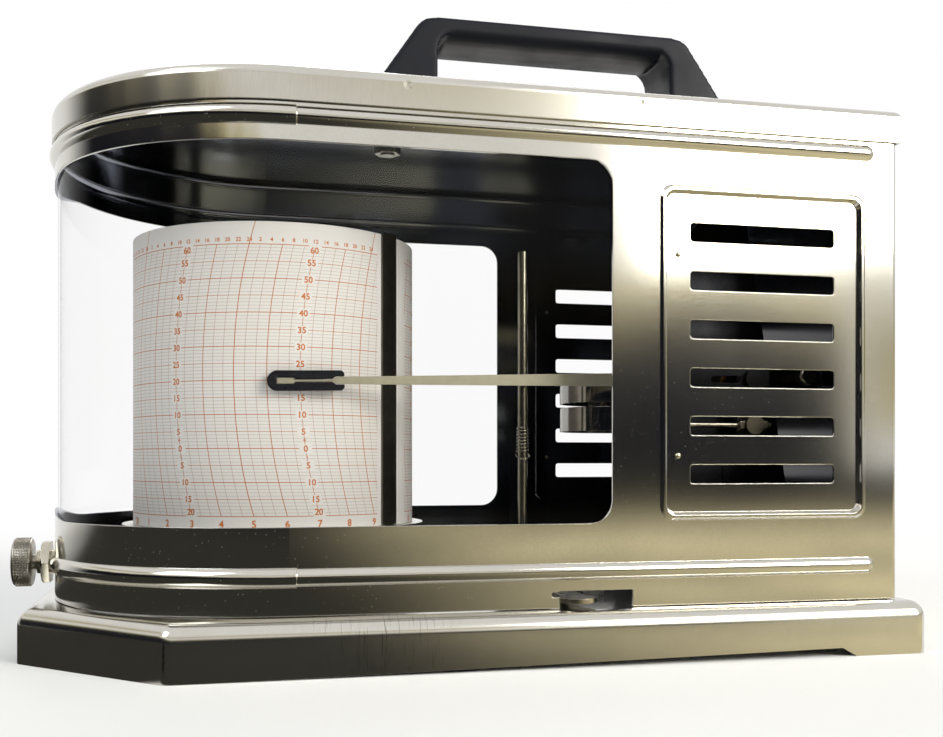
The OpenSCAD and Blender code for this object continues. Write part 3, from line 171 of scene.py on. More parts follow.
def copy_of(node, name, smooth_turn):
    """A merged copy of a solid's mesh, smooth wherever its faces meet at less than the given angle."""
    shape = bmesh.new()
    shape.from_mesh(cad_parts[node].data)
    bmesh.ops.remove_doubles(shape, verts=shape.verts, dist=1e-6)
    bmesh.ops.dissolve_limit(shape, angle_limit=math.radians(0.3), verts=shape.verts, edges=shape.edges)
    mesh = mesh_of(shape, name)
    mesh.shade_smooth()
    mesh.set_sharp_from_angle(angle=math.radians(smooth_turn))
    return add_object(name, mesh)


steel_colour, steel_shade = "#CFCCC4", "#C7C4BB"
tray_steel, tree, shader, marks = metal_finish(
    "cold-rolled stainless steel", steel_colour, steel_shade, 0.17, grain=(0.5, 0.5, 0.5), mottle=22.0,
    bump=0.0015, edge=0.1,
)
# Upright rub marks about 0.3 mm wide on the front wall, and a darker weld at the folded corner
rub_left, rub_full, rub_fade = -0.06, -0.04, -0.035
rub_grain, rub_long = (3000, 60, 120), 0.03
weld_corner, weld_half = (-0.0911, -0.0779, 0.0075), (0.00055, 0.0015, 0.0075)
scratch_place = add_node(
    tree, "ShaderNodeMapping", {"Vector": marks["place"], "Scale": rub_grain}
).outputs[0]
scratch = noise_at(tree, scratch_place, 1.0, 1.0)
rub_x = parts_of(tree, marks["place"])[0]
near_rub = ranged(tree, sum_of(tree, "SUBTRACT", rub_x, rub_fade), 0.0, rub_long, 1.0, 0.0)
rub_start = ranged(tree, rub_x, rub_left, rub_full)
rubbed = sum_of(tree, "MULTIPLY", near_rub, rub_start)
deep = ranged(tree, scratch, 0.62, 0.72)
worn = sum_of(tree, "MULTIPLY", deep, rubbed)
weld_off = vector_of(tree, "SUBTRACT", marks["place"], weld_corner)
weld_lumps = noise_at(tree, marks["place"], 1000 / 0.7, 2.0)
weld_near = vector_of(tree, "MULTIPLY", weld_off, tuple(1 / half for half in weld_half))
weld_far = sum_of(tree, "MULTIPLY_ADD", weld_lumps, 1.6, vector_of(tree, "LENGTH", weld_near))
weld = ranged(tree, weld_far, 1.2, 1.7, 0.8, 0.0)
marked = sum_of(tree, "MAXIMUM", sum_of(tree, "MULTIPLY", worn, 0.6), weld)
marked_tint = blended(tree, marked, marks["tint"], "#4A4430")
tree.links.new(marked_tint, shader.inputs["Base Color"])

tray = copy_of("tray", "pressed_tray", 32)
give_only(tray.data, tray_steel)
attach(tray, "base")
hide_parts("tray")


# Two rubber pads are pushed on below the tray's middle. They are moulded in black rubber,
# which dust turns slightly grey and which keeps the instrument from sliding.
def emboss(tree, shader, height, strength, depth):
    relief = add_node(tree, "ShaderNodeBump", {"Strength": strength, "Distance": depth, "Height": height})
    tree.links.new(relief.outputs[0], shader.inputs["Normal"])


def dress(finish, *nodes):
    for node in nodes:
        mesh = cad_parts[node].data
        if not mesh.materials:
            mesh.materials.append(finish)
        for i in range(len(mesh.materials)):
            mesh.materials[i] = finish


pad_rubber, tree, shader = start_finish("moulded rubber", Roughness=0.85)
pad_place = own_place(tree)
pad_noise = noise_at(tree, pad_place, 1000 / 1.2, 3.0)
pad_tint = blended(tree, pad_noise, "#1B1B1C", "#2E2D2B")
tree.links.new(pad_tint, shader.inputs["Base Color"])
emboss(tree, shader, pad_noise, 0.4, 0.00005)
dress(pad_rubber, "tray_pads")


# The spindle stands in the middle of the drum: a steel pin with a nut under the tray and a
# brass wheel fixed on it, about which the clock walks the drum round. All are turned parts.
dull_nickel = metal_finish("dull nickel plate", "#C9C3B4", "#A39C8A", 0.24, grain=(0.25, 0.25, 0.25))[0]
zinc_plate = metal_finish(
    "zinc-plated steel", "#B7B3A6", "#8E8A7D", 0.34, grain=(0.3, 0.3, 0.3), mottle=4.0
)[0]
turned_brass = metal_finish("turned brass", "#C39A4E", "#9A7433", 0.28, grain=(0.2, 0.2, 1.5))[0]
dress(dull_nickel, "spindle")
dress(zinc_plate, "spindle_nut", "base_screws")
dress(turned_brass, "fixed_wheel", "drum_nut", "axle_bushes")


# The mechanism's frame, its post and its clamps are folded or milled from mild steel and
# blackened in a hot bath, which leaves a satin, slightly brown-black skin.
black_steel = metal_finish(
    "blackened mild steel", "#3A3A3D", "#26262A", 0.36, grain=(0.5, 0.5, 0.5), mottle=12.0, edge=0.2
)[0]
dress(black_steel, "mechanism_frame", "zero_lock", "bimetal_post", "bimetal_clamp", "gate_block", "crank")
dress(black_steel, "arm_screw")
dress(zinc_plate, "clamp_screws", "lock_bracket", "lifter_washer")
dress(dull_nickel, "zero_screw", "lifter_post")


# The element is two open rings of bimetal strip, cold-rolled bright and bent to a circle.
# Their rear ends are clamped to the post; the front ends carry the clip and move with the heat.
rolled_bimetal = metal_finish(
    "bright rolled bimetal", "#A09E98", "#8C8A84", 0.1, grain=(3.0, 3.0, 0.15), mottle=14.0, bump=0.004
)[0]
for node in ("lower_bimetal", "upper_bimetal"):
    ring = copy_of(node, node.replace("bimetal", "ring"), 30)
    give_only(ring.data, rolled_bimetal)
    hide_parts(node)
    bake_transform(ring)
dress(dull_nickel, "bimetal_clip")


# The axle turns in two brass bushes. Its crank takes the pull of a thin link rod, which is
# screwed through a small turned swivel between two nuts, so that the scale can be set.
dress(dull_nickel, "pen_axle", "gate_pin", "link_rod", "link_swivel", "link_nuts")


# The pen arm is a blackened root plate with a long blade of aluminium sheet, cut to a taper
# and painted cream. The blade ends in a narrow neck and a tab that the pen is pushed over.
arm_low, arm_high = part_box("arm_blade")
pen_low, pen_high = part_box("pen_cartridge")
axle_low, axle_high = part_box("pen_axle")
axle = Vector(((axle_low.x + axle_high.x) / 2, 0, (axle_low.z + axle_high.z) / 2))
arm_slope = math.radians(1.05)
pen_left = (axle.x - pen_low.x) * 1000 / math.cos(arm_slope)


def on_arm(from_pen_end, height, depth):
    """A point given in mm along the arm from the pen's left end, above its middle line, and in depth."""
    along, up = (pen_left - from_pen_end) / 1000, height / 1000
    return Vector((
        axle.x - along * math.cos(arm_slope) - up * math.sin(arm_slope),
        depth,
        axle.z - along * math.sin(arm_slope) + up * math.cos(arm_slope),
    ))


def flat_piece(name, outline, front, back, finish, edge):
    """A sheet or moulding with the given outline on the arm, its edges broken by a small bevel."""
    shape = bmesh.new()
    ring_of = [shape.verts.new(on_arm(x, z, front)) for x, z in outline]
    face = shape.faces.new(ring_of)
    drawn = bmesh.ops.extrude_face_region(shape, geom=[face])
    moved = [g for g in drawn["geom"] if isinstance(g, bmesh.types.BMVert)]
    bmesh.ops.translate(shape, verts=moved, vec=(0, back - front, 0))
    bmesh.ops.recalc_face_normals(shape, faces=shape.faces)
    mesh = mesh_of(shape, name)
    mesh.materials.append(finish)
    piece = add_object(name, mesh)
    broken = piece.modifiers.new("broken edge", "BEVEL")
    broken.width = edge / 1000
    broken.segments = 2
    broken.limit_method = "ANGLE"
    broken.angle_limit = math.radians(40)
    broken.harden_normals = True
    mesh.shade_smooth()
    return piece


cream_paint, tree, shader = start_finish("cream-painted aluminium", Metallic=0.35, Roughness=0.38)
paint_place = own_place(tree)
paint_noise = noise_at(tree, paint_place, 1000 / 2.5, 5.0)
paint_tint = blended(tree, paint_noise, "#948F7A", "#A7A28C")
tree.links.new(paint_tint, shader.inputs["Base Color"])
blade_root = (axle.x - arm_high.x) * 1000
blade_half = [(20.7, 1.05), (22.6, 1.15), (pen_left - blade_root - 8, 2.35), (pen_left - blade_root, 2.35)]
blade_tip = [(19.4, 0.32), (8.4, 0.32), (7.9, 0.9), (3.0, 0.9)]
upper = list(reversed(blade_tip)) + blade_half
blade = flat_piece(
    "arm_sheet", upper + [(x, -z) for x, z in reversed(upper)], arm_low.y, arm_high.y, cream_paint, 0.06
)
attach(blade, "arm")
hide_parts("arm_blade")
dress(black_steel, "arm_root")


# The pen is moulded in black plastic as a hairpin that clips over the blade's tab. Its ink
# lies in the felt nib behind the round end, where the moulding shows a small round mark.
black_moulding, tree, shader = start_finish(
    "glossy black polystyrene", Roughness=0.28, Specular_IOR_Level=0.4
)
pen_place = own_place(tree)
pen_noise = noise_at(tree, pen_place, 1000 / 0.8, 4.0)
pen_tint = blended(tree, pen_noise, "#0A0B12", "#12131B")
tree.links.new(pen_tint, shader.inputs["Base Color"])
pen_rough = ranged(tree, pen_noise, 0.0, 1.0, 0.22, 0.4)
tree.links.new(pen_rough, shader.inputs["Roughness"])
emboss(tree, shader, pen_noise, 0.3, 0.00002)
pen_half, pen_long = 3.05, 23.25
outer_turn = [math.radians(90 + 180 * i / 16) for i in range(17)]
pen_outline = [(3.05 + pen_half * math.cos(a), pen_half * math.sin(a)) for a in outer_turn]
pen_outline += [(pen_long - 0.9, -pen_half), (pen_long - 0.1, -2.2), (pen_long - 0.1, -1.25)]
pen_outline += [(20.6, -1.2), (19.9, -0.72), (19.2, -0.5), (8.2, -0.42), (8.15, -1.0), (2.75, -1.0)]
pen_outline += [(2.75, 1.0), (8.15, 1.0), (8.2, 0.42), (19.2, 0.5), (19.9, 0.72), (20.6, 1.2)]
pen_outline += [(pen_long - 0.1, 1.25), (pen_long - 0.1, 2.2), (pen_long - 0.9, pen_half)]
pen_front, pen_back = pen_low.y + 0.0001, pen_low.y + 0.002
pen = flat_piece("pen_moulding", pen_outline, pen_front, pen_back, black_moulding, 0.22)


def skin_over(shape, rings):
    """Closes a row of rings of points into one skin with a flat end at each side."""
    for first, second in zip(rings, rings[1:]):
        for k in range(len(first)):
            after = (k + 1) % len(first)
            shape.faces.new((first[k], first[after], second[after], second[k]))
    shape.faces.new(rings[0])
    shape.faces.new(rings[-1])
    bmesh.ops.recalc_face_normals(shape, faces=shape.faces)


# The round mark is a low C-shaped rib, which the tab's window leaves open on the right
mark_x, mark_half, rib_half, rib_high, rib_lift = 2.25, 1.5, 0.17, 0.12, 0.04
mark = bmesh.new()
rib_rings = []
for i in range(25):
    turn = math.radians(55 + 250 * i / 24)
    ring = []
    for k in range(8):
        spin = 2 * math.pi * k / 8
        r = mark_half + rib_half * math.cos(spin)
        depth = pen_front + (rib_lift - rib_high * math.sin(spin)) / 1000
        ring.append(mark.verts.new(on_arm(mark_x + r * math.cos(turn), r * math.sin(turn), depth)))
    rib_rings.append(ring)
skin_over(mark, rib_rings)
mark_mesh = mesh_of(mark, "pen_mark")
mark_mesh.shade_smooth()
mark_mesh.set_sharp_from_angle(angle=math.radians(60))
mark_mesh.materials.append(black_moulding)
pen_mark = add_object("pen_mark", mark_mesh)
nib = bmesh.new()
nib_rings = []
for share, r in ((0.0, 0.8), (0.55, 0.75), (0.85, 0.5), (1.0, 0.25)):
    centre = on_arm(1.6, 0, pen_back - 0.0002 + share * (pen_high.y - pen_back + 0.0002))
    nib_rings.append([
        nib.verts.new(centre + Vector((r * math.cos(a) / 1000, 0, r * math.sin(a) / 1000)))
        for a in (2 * math.pi * i / 20 for i in range(20))
    ])
skin_over(nib, nib_rings)
nib_mesh = mesh_of(nib, "pen_nib")
nib_mesh.materials.append(black_moulding)
pen_nib = add_object("pen_nib", nib_mesh)
for piece in (pen, pen_mark, pen_nib):
    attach(piece, "arm")
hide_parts("pen_cartridge")


# The pen lifter is a flat lever on a post. A finger on its disc, in front of the case, swings
# an upright steel rod that pushes the arm off the chart. A wire spring is curled round the rod.
def mesh_from(name, points, edges=(), faces=()):
    mesh = bpy.data.meshes.new(name)
    mesh.from_pydata(points, edges, faces)
    return mesh


drawn_rod = metal_finish(
    "drawn spring steel", "#A8A392", "#7C786A", 0.22, grain=(0.2, 0.2, 5.0), mottle=7.0, bump=0.006
)[0]
dress(dull_nickel, "lifter_lever")
dress(drawn_rod, "lifter_rod")
rod_low, rod_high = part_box("lifter_rod")
coil_low, coil_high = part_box("lifter_spring")
rod_middle = Vector(((rod_low.x + rod_high.x) / 2, (rod_low.y + rod_high.y) / 2, 0))
wire_half, curls, loop_wide, loop_rise = 0.00023, 7, 0.00038, 0.0026
wire_gap, early_share = 0.00005, 0.9
coil_half = (rod_high.x - rod_low.x) / 2 + wire_half + wire_gap
coil_z = coil_low.z + wire_half
coil_rise = coil_high.z - wire_half - coil_z - loop_rise
spring_points = []
curl_steps, tail_steps = 24, 7
for i in range(-tail_steps, curl_steps * (curls + 1) + 1):
    # The wire ends below in a wide loop that is open at the left and lies aslant
    rounds = i / curl_steps
    turn = 2 * math.pi * rounds
    radius = coil_half + loop_wide * min(1.0, max(0.0, 2 - 2 * rounds))
    if rounds <= 0.5:
        z = coil_z + early_share * loop_rise * (1 - math.cos(turn)) / 2
    elif rounds <= 1:
        z = coil_z + loop_rise * (early_share + (1 - early_share) * (2 * rounds - 1))
    else:
        z = coil_z + loop_rise + coil_rise * (rounds - 1) / curls
    spring_points.append((
        rod_middle.x + radius * math.sin(turn), rod_middle.y - radius * math.cos(turn), z
    ))
wire_steps = [(i, i + 1) for i in range(len(spring_points) - 1)]
spring_line = add_object("lifter_wire", mesh_from("spring_line", spring_points, wire_steps))


def group_socket(tree, name, kind, side="INPUT"):
    return tree.interface.new_socket(name, in_out=side, socket_type="NodeSocket" + kind)


def end_group(tree, last, finish):
    """Makes the last node's geometry real, gives it its material and sends it out of the group."""
    real = add_node(tree, "GeometryNodeRealizeInstances", {0: last.outputs[0]})
    coated = add_node(tree, "GeometryNodeSetMaterial", {0: real.outputs[0], "Material": finish})
    add_node(tree, "NodeGroupOutput", {0: coated.outputs[0]})


wire_tree = bpy.data.node_groups.new("wire along a line", "GeometryNodeTree")
group_socket(wire_tree, "Line", "Geometry")
wire_radius = group_socket(wire_tree, "Wire radius", "Float")
wire_sides = group_socket(wire_tree, "Sides", "Int")
group_socket(wire_tree, "Wire", "Geometry", "OUTPUT")
given = add_node(wire_tree, "NodeGroupInput")
path = add_node(wire_tree, "GeometryNodeMeshToCurve", {0: given.outputs[0]})
ring_section = add_node(
    wire_tree, "GeometryNodeCurvePrimitiveCircle",
    {"Resolution": given.outputs[2], "Radius": given.outputs[1]},
)
swept = add_node(
    wire_tree, "GeometryNodeCurveToMesh", {0: path.outputs[0], 1: ring_section.outputs[0], "Fill Caps": True}
)
end_group(wire_tree, swept, drawn_rod)


def applied_mesh(piece):
    """A plain mesh of a piece as its modifiers or its letters make it."""
    depsgraph = bpy.context.evaluated_depsgraph_get()
    return bpy.data.meshes.new_from_object(piece.evaluated_get(depsgraph), depsgraph=depsgraph)


def grown(piece, tree, values, name, finish):
    """Runs a node tree on an object, and puts the plain mesh that comes out in the object's place."""
    modifier = piece.modifiers.new("grown", "NODES")
    modifier.node_group = tree
    for socket, value in values:
        modifier[socket.identifier] = value
    mesh = applied_mesh(piece)
    bpy.data.objects.remove(piece)
    mesh.name = name
    give_only(mesh, finish)
    return add_object(name, mesh)


spring = grown(
    spring_line, wire_tree, ((wire_radius, wire_half), (wire_sides, 10)), "rod_spring", drawn_rod
)
spring.data.shade_smooth()
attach(spring, "lifter")
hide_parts("lifter_spring")


# The drum is spun from aluminium sheet with a brass bush, and holds the clock. The clock is a
# closed brass can with its pinion below, and its winding key stands out of the drum's top.
spun_aluminium = metal_finish(
    "spun aluminium", "#C9C8C2", "#ADABA3", 0.32, grain=(0.3, 0.3, 0.3), mottle=16.0, bump=0.01
)[0]
dress(spun_aluminium, "drum_can", "drum_base")
dress(turned_brass, "drum_bush", "clock_case", "winding_key")
dress(dull_nickel, "drive_pinion")


# The chart is a strip of coated paper 92.7 mm wide, printed in orange-brown with a grid of
# degrees and of arcs that the pen swings along. It is wrapped round the drum once.
paper_low, paper_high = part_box("chart_paper")
drum_middle = Vector(((paper_low.x + paper_high.x) / 2, (paper_low.y + paper_high.y) / 2, 0))
paper_half = (paper_high.x - paper_low.x) / 2
paper_thick = 0.0002
bar_turn = math.radians(-43)
gap_turn = 0.002 / paper_half
front_turn = math.radians(-90)
chart_mesh = bmesh.new()
steps = 240
printed = chart_mesh.loops.layers.uv.new("print")
columns = []
for i in range(steps + 1):
    turn = bar_turn + gap_turn / 2 + (2 * math.pi - gap_turn) * i / steps
    out = Vector((math.cos(turn), math.sin(turn), 0))
    along = (turn - front_turn) * paper_half * 1000
    corners = [
        (paper_half, paper_low.z), (paper_half, paper_high.z),
        (paper_half - paper_thick, paper_high.z), (paper_half - paper_thick, paper_low.z),
    ]
    columns.append([
        (chart_mesh.verts.new(drum_middle + out * r + Vector((0, 0, z))), (along, z * 1000))
        for r, z in corners
    ])
faces = []
for i in range(steps):
    for k in range(4):
        faces.append((columns[i][k], columns[i + 1][k], columns[i + 1][(k + 1) % 4], columns[i][(k + 1) % 4]))
faces += [tuple(reversed(columns[0])), tuple(columns[-1])]
for corners in faces:
    face = chart_mesh.faces.new([c[0] for c in corners])
    for loop, corner in zip(face.loops, corners):
        loop[printed].uv = corner[1]
bmesh.ops.recalc_face_normals(chart_mesh, faces=chart_mesh.faces)
mesh = mesh_of(chart_mesh, "chart_strip")
mesh.shade_smooth()
mesh.set_sharp_from_angle(angle=math.radians(40))
chart = add_object("chart_strip", mesh)

# The paper is nearly one tone, a little yellowed in patches, with faint fibres. The print's sizes
# are in mm: hours run along the strip, degrees upwards.
degree, lowest_line, degrees_shown = 1.0257, 43.58, 80
two_hours, first_midnight, strip_start, strip_end = 10 / 3, 38.0, 49.5, 325.6
arm_reach, axle_height = 157.2, 87.2
coated_paper, tree, shader = start_finish("coated chart paper", Roughness=0.62)
print_place = add_node(tree, "ShaderNodeUVMap", uv_map="print").outputs[0]
found = dict(zip(("along", "height"), parts_of(tree, print_place)))
# The lines' edges are soft over 0.05 mm, and they leave room for the degree numbers
soft, clear_wide, clear_high, edge_room = 0.05, 1.95, 1.25, 0.12
sums = [
    ("from_axle", "SUBTRACT", "height", axle_height),
    ("squared", "MULTIPLY", "from_axle", "from_axle"),
    ("under_root", "SUBTRACT", arm_reach**2, "squared"),
    ("root", "SQRT", "under_root"),
    ("sweep", "SUBTRACT", arm_reach, "root"),
    ("unswept", "SUBTRACT", "along", "sweep"),
    ("hours", "SUBTRACT", "unswept", first_midnight),
    ("noon_hours", "SUBTRACT", "hours", 6 * two_hours),
    ("six_hours", "SUBTRACT", "hours", 3 * two_hours),
    ("warmth", "SUBTRACT", "height", lowest_line),
    ("off_2h", "PINGPONG", "hours", two_hours / 2),
    ("off_6h", "PINGPONG", "six_hours", 3 * two_hours),
    ("off_day", "PINGPONG", "hours", 6 * two_hours),
    ("off_noon", "PINGPONG", "noon_hours", 6 * two_hours),
    ("off_1", "PINGPONG", "warmth", degree / 2),
    ("off_5", "PINGPONG", "warmth", 2.5 * degree),
    ("off_10", "PINGPONG", "warmth", 5 * degree),
    ("above_low", "GREATER_THAN", "height", lowest_line - edge_room),
    ("below_top", "LESS_THAN", "height", lowest_line + degrees_shown * degree + edge_room),
    ("past_start", "GREATER_THAN", "along", strip_start),
    ("before_end", "LESS_THAN", "along", strip_end),
    ("in_strip", "MULTIPLY", "past_start", "before_end"),
    ("in_height", "MULTIPLY", "above_low", "below_top"),
    ("in_grid", "MULTIPLY", "in_height", "in_strip"),
    ("in_day", "MULTIPLY", "above_low", "in_strip"),
    ("by_noon", "LESS_THAN", "off_noon", clear_wide),
    ("by_five", "LESS_THAN", "off_5", clear_high),
    ("by_label", "MULTIPLY", "by_noon", "by_five"),
    ("clear", "SUBTRACT", 1.0, "by_label"),
]
for line, off, half, ink in (
    ("thin_h", "off_2h", 0.06, 0.7), ("bold_h", "off_6h", 0.1, 0.95), ("day_h", "off_day", 0.11, 1.0),
    ("noon_h", "off_noon", 0.07, 0.9), ("thin_d", "off_1", 0.05, 0.58), ("mid_d", "off_5", 0.07, 0.75),
    ("bold_d", "off_10", 0.1, 0.95),
):
    sums.append((line + "_edge", "MULTIPLY_ADD", off, -1 / soft, (half + soft) / soft))
    sums.append((line + "_low", "MAXIMUM", line + "_edge", 0.0))
    sums.append((line + "_full", "MINIMUM", line + "_low", 1.0))
    sums.append((line, "MULTIPLY", line + "_full", ink))
sums += [
    ("fine", "MAXIMUM", "thin_h", "thin_d"),
    ("fine_shown", "MULTIPLY", "fine", "clear"),
    ("fine_ink", "MULTIPLY", "fine_shown", "in_grid"),
    ("mid", "MAXIMUM", "noon_h", "mid_d"),
    ("bold", "MAXIMUM", "bold_h", "bold_d"),
    ("lines", "MAXIMUM", "mid", "bold"),
    ("shown", "MULTIPLY", "lines", "clear"),
    ("grid", "MULTIPLY", "shown", "in_grid"),
    ("days", "MULTIPLY", "day_h", "in_day"),
    ("ink", "MAXIMUM", "grid", "days"),
]
for name, operation, *terms in sums:
    found[name] = sum_of(tree, operation, *(found.get(t, t) for t in terms))
paper_place = own_place(tree)
fibres = noise_at(tree, paper_place, 1000 / 0.6, 6.0, Roughness=0.7)
aged = noise_at(tree, paper_place, 1000 / 40, 2.0)
sheet_tone = blended(tree, aged, "#CFCECD", "#D8D3CA")
fibre_tone = blended(tree, 0.06, sheet_tone, fibres, "MULTIPLY")
fine_tone = blended(tree, found["fine_ink"], fibre_tone, "#96785C")
printed_tone = blended(tree, found["ink"], fine_tone, "#AE6528")
tree.links.new(printed_tone, shader.inputs["Base Color"])
emboss(tree, shader, fibres, 0.25, 0.00002)
chart.data.materials.append(coated_paper)
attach(chart, "drum")
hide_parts("chart_paper")

# Plain numbers printed with the grid: degrees down each noon arc, hours along the top and a
# count of quarter days along the foot. They are cut as thin faces that follow the drum.
chart_ink, tree, shader = start_finish("printing ink", Roughness=0.6)
ink_place = own_place(tree)
ink_noise = noise_at(tree, ink_place, 1000 / 0.5, 3.0)
ink_tint = blended(tree, ink_noise, "#B4621C", "#C0702C")
tree.links.new(ink_tint, shader.inputs["Base Color"])
glyphs = {}


def glyph_shape(label):
    if label not in glyphs:
        letters = bpy.data.curves.new("number", "FONT")
        letters.body = label
        letters.resolution_u = 3
        letters.offset = 0.028
        letters.align_x = "CENTER"
        holder = add_object("number", letters)
        flat = applied_mesh(holder)
        bpy.data.objects.remove(holder)
        points = [v.co.copy() for v in flat.vertices]
        low, high = min(p.y for p in points), max(p.y for p in points)
        tall = 1.0 if label in "+-" else high - low
        glyphs[label] = ([(p.x / tall, (p.y - (low + high) / 2) / tall) for p in points],
                         [tuple(f.vertices) for f in flat.polygons])
        bpy.data.meshes.remove(flat)
    return glyphs[label]


def sweep_at(height):
    return arm_reach - math.sqrt(arm_reach**2 - (height - axle_height) ** 2)


top_line = lowest_line + degrees_shown * degree
degree_tall, sign_tall, hour_tall, quarter_tall = 2.05, 2.0, 1.25, 2.3
end_shift, hour_lift, quarter_drop, first_quarter = 1.25, 1.45, 2.35, 54.2
hour_arc, hour_shift, degree_room, first_hour_room, last_hour_room = 1.4, 0.3, 2, 1, 0.5
labels = []
for day in range(7):
    midnight = first_midnight + day * 12 * two_hours
    for value in range(-20, 61, 5):
        height = lowest_line + (value + 20) * degree
        height += {60: -end_shift, -20: end_shift}.get(value, 0)
        place = midnight + 6 * two_hours + sweep_at(height)
        if place > strip_start + degree_room:
            labels.append((str(abs(value)), place, height, degree_tall))
    for value, mark_text in ((2.5, "+"), (-2.5, "-")):
        height = lowest_line + (value + 20) * degree
        labels.append((mark_text, midnight + 6 * two_hours + sweep_at(height), height, sign_tall))
    for hour in range(1, 13):
        place = midnight + hour * two_hours + sweep_at(top_line + hour_arc)
        if strip_start + first_hour_room < place < strip_end - last_hour_room:
            labels.append((str(2 * hour), place - hour_shift, top_line + hour_lift, hour_tall))
for quarter in range(28):
    place = first_quarter + 3 * two_hours * quarter
    labels.append((str((quarter + 9) % 28 + 1), place, lowest_line - quarter_drop, quarter_tall))
points, faces = [], []
ink_half = paper_half + 0.00002
for label, along, height, tall in labels:
    shape_points, shape_faces = glyph_shape(label)
    first = len(points)
    for x, y in shape_points:
        turn = front_turn + (along + x * tall) / 1000 / paper_half
        points.append((
            drum_middle.x + ink_half * math.cos(turn),
            drum_middle.y + ink_half * math.sin(turn),
            (height + y * tall) / 1000,
        ))
    faces += [tuple(first + v for v in f) for f in shape_faces]
mesh = mesh_from("chart_numbers", points, faces=faces)
mesh.materials.append(chart_ink)
numbers = add_object("chart_numbers", mesh)
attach(numbers, "drum")


# A bar of spring steel, blued by its heat treatment, hooks over the drum's rim and holds both
# ends of the chart.
blued_bar = metal_finish(
    "blued spring steel", "#77746A", "#5D5A50", 0.34, grain=(0.3, 0.3, 3.0), mottle=10.0, edge=0.08
)[0]
dress(blued_bar, "clamp_bar")


# The cover is one strip of 0.8 mm stainless sheet, pressed with beads, window and louvres and
# bent round at the left. Outside it is bright; inside, a darker grey is partly its duller rolled
# skin and partly painted shade.
cover_steel, tree, shader, marks = metal_finish(
    "bright rolled stainless sheet", steel_colour, steel_shade, 0.1, grain=(0.5, 0.5, 0.5), mottle=26.0,
    bump=0.001, edge=0.35,
)


def darken_inside(tree, shader, marks, colour, roughness):
    """Gives the faces that look at the drum, and those under the lid, a darker grey: partly the duller other
    side of the sheet, partly painted shade inside the case. The end wall's inner face gets a darker painted
    shade.
    """
    end_wall_x, under_lid_z = 0.186, 0.165
    face = add_node(tree, "ShaderNodeTexCoord").outputs["Normal"]
    from_drum = vector_of(tree, "ADD", marks["place"], tuple(-drum_middle))
    along, across, up = parts_of(tree, from_drum)
    left_only = sum_of(tree, "MINIMUM", along, 0.0)
    outward = add_node(tree, "ShaderNodeCombineXYZ", {0: left_only, 1: across}).outputs[0]
    facing = vector_of(tree, "DOT_PRODUCT", vector_of(tree, "NORMALIZE", outward), face)
    inward = sum_of(tree, "LESS_THAN", facing, -0.35)
    face_x, _, face_z = parts_of(tree, face)
    leftward = sum_of(tree, "LESS_THAN", face_x, -0.6)
    far_right = sum_of(tree, "GREATER_THAN", along, end_wall_x)
    shaded_end_wall = sum_of(tree, "MULTIPLY", leftward, far_right)
    downward = sum_of(tree, "LESS_THAN", face_z, -0.9)
    high = sum_of(tree, "GREATER_THAN", up, under_lid_z)
    under_lid = sum_of(tree, "MULTIPLY", downward, high)
    inside = sum_of(tree, "MAXIMUM", inward, shaded_end_wall)
    inside = sum_of(tree, "MAXIMUM", inside, under_lid)
    # The inner faces get a darker grey, partly the sheet's duller skin and partly painted shade
    tint = blended(tree, inside, marks["tint"], colour)
    # The end wall's inner face gets a still darker painted shade
    tint = blended(tree, shaded_end_wall, tint, "#4A4A4C")
    rough = between(tree, inside, marks["rough"], roughness)
    tree.links.new(tint, shader.inputs["Base Color"])
    tree.links.new(rough, shader.inputs["Roughness"])


# Inside, the grey is partly the duller skin and partly painted shade, darker on the end wall
darken_inside(tree, shader, marks, "#90949C", 0.12)
# Dust lies on it in pale specks 0.1 to 0.2 mm wide
dust = add_node(tree, "ShaderNodeTexVoronoi", {"Vector": marks["place"], "Scale": 1000 / 1.6}).outputs[0]
speck = ranged(tree, dust, 0.04, 0.08, 0.5, 0.0)
bare = sum_of(tree, "SUBTRACT", 1.0, speck)
tree.links.new(bare, shader.inputs["Metallic"])
dress(cover_steel, "case_shell")


# The lid is pressed from the same sheet and spot-welded over the cover's rim. Three shallow
# dimples from the welding tips show along its front edge.
lid_steel, tree, shader, marks = metal_finish(
    "bright pressed stainless lid", steel_colour, steel_shade, 0.16, grain=(0.35, 0.35, 5.0), mottle=26.0,
    bump=0.002, edge=0.35,
)
# Under the lid the grey is partly the duller skin and partly painted shade
darken_inside(tree, shader, marks, "#90949C", 0.12)
dimple_lift = marks["relief"]
dimple_y = -0.0717
for x, z in ((-0.0756, 0.1656), (-0.0235, 0.1682), (0.0472, 0.1684)):
    off = vector_of(tree, "DISTANCE", marks["place"], (x, dimple_y, z))
    hollow = ranged(tree, off, 0.0004, 0.0014)
    dimple_lift = add_node(
        tree, "ShaderNodeBump",
        {"Strength": 0.5, "Distance": 0.00015, "Height": hollow, "Normal": dimple_lift},
    ).outputs[0]
tree.links.new(dimple_lift, shader.inputs["Normal"])
dress(lid_steel, "lid")


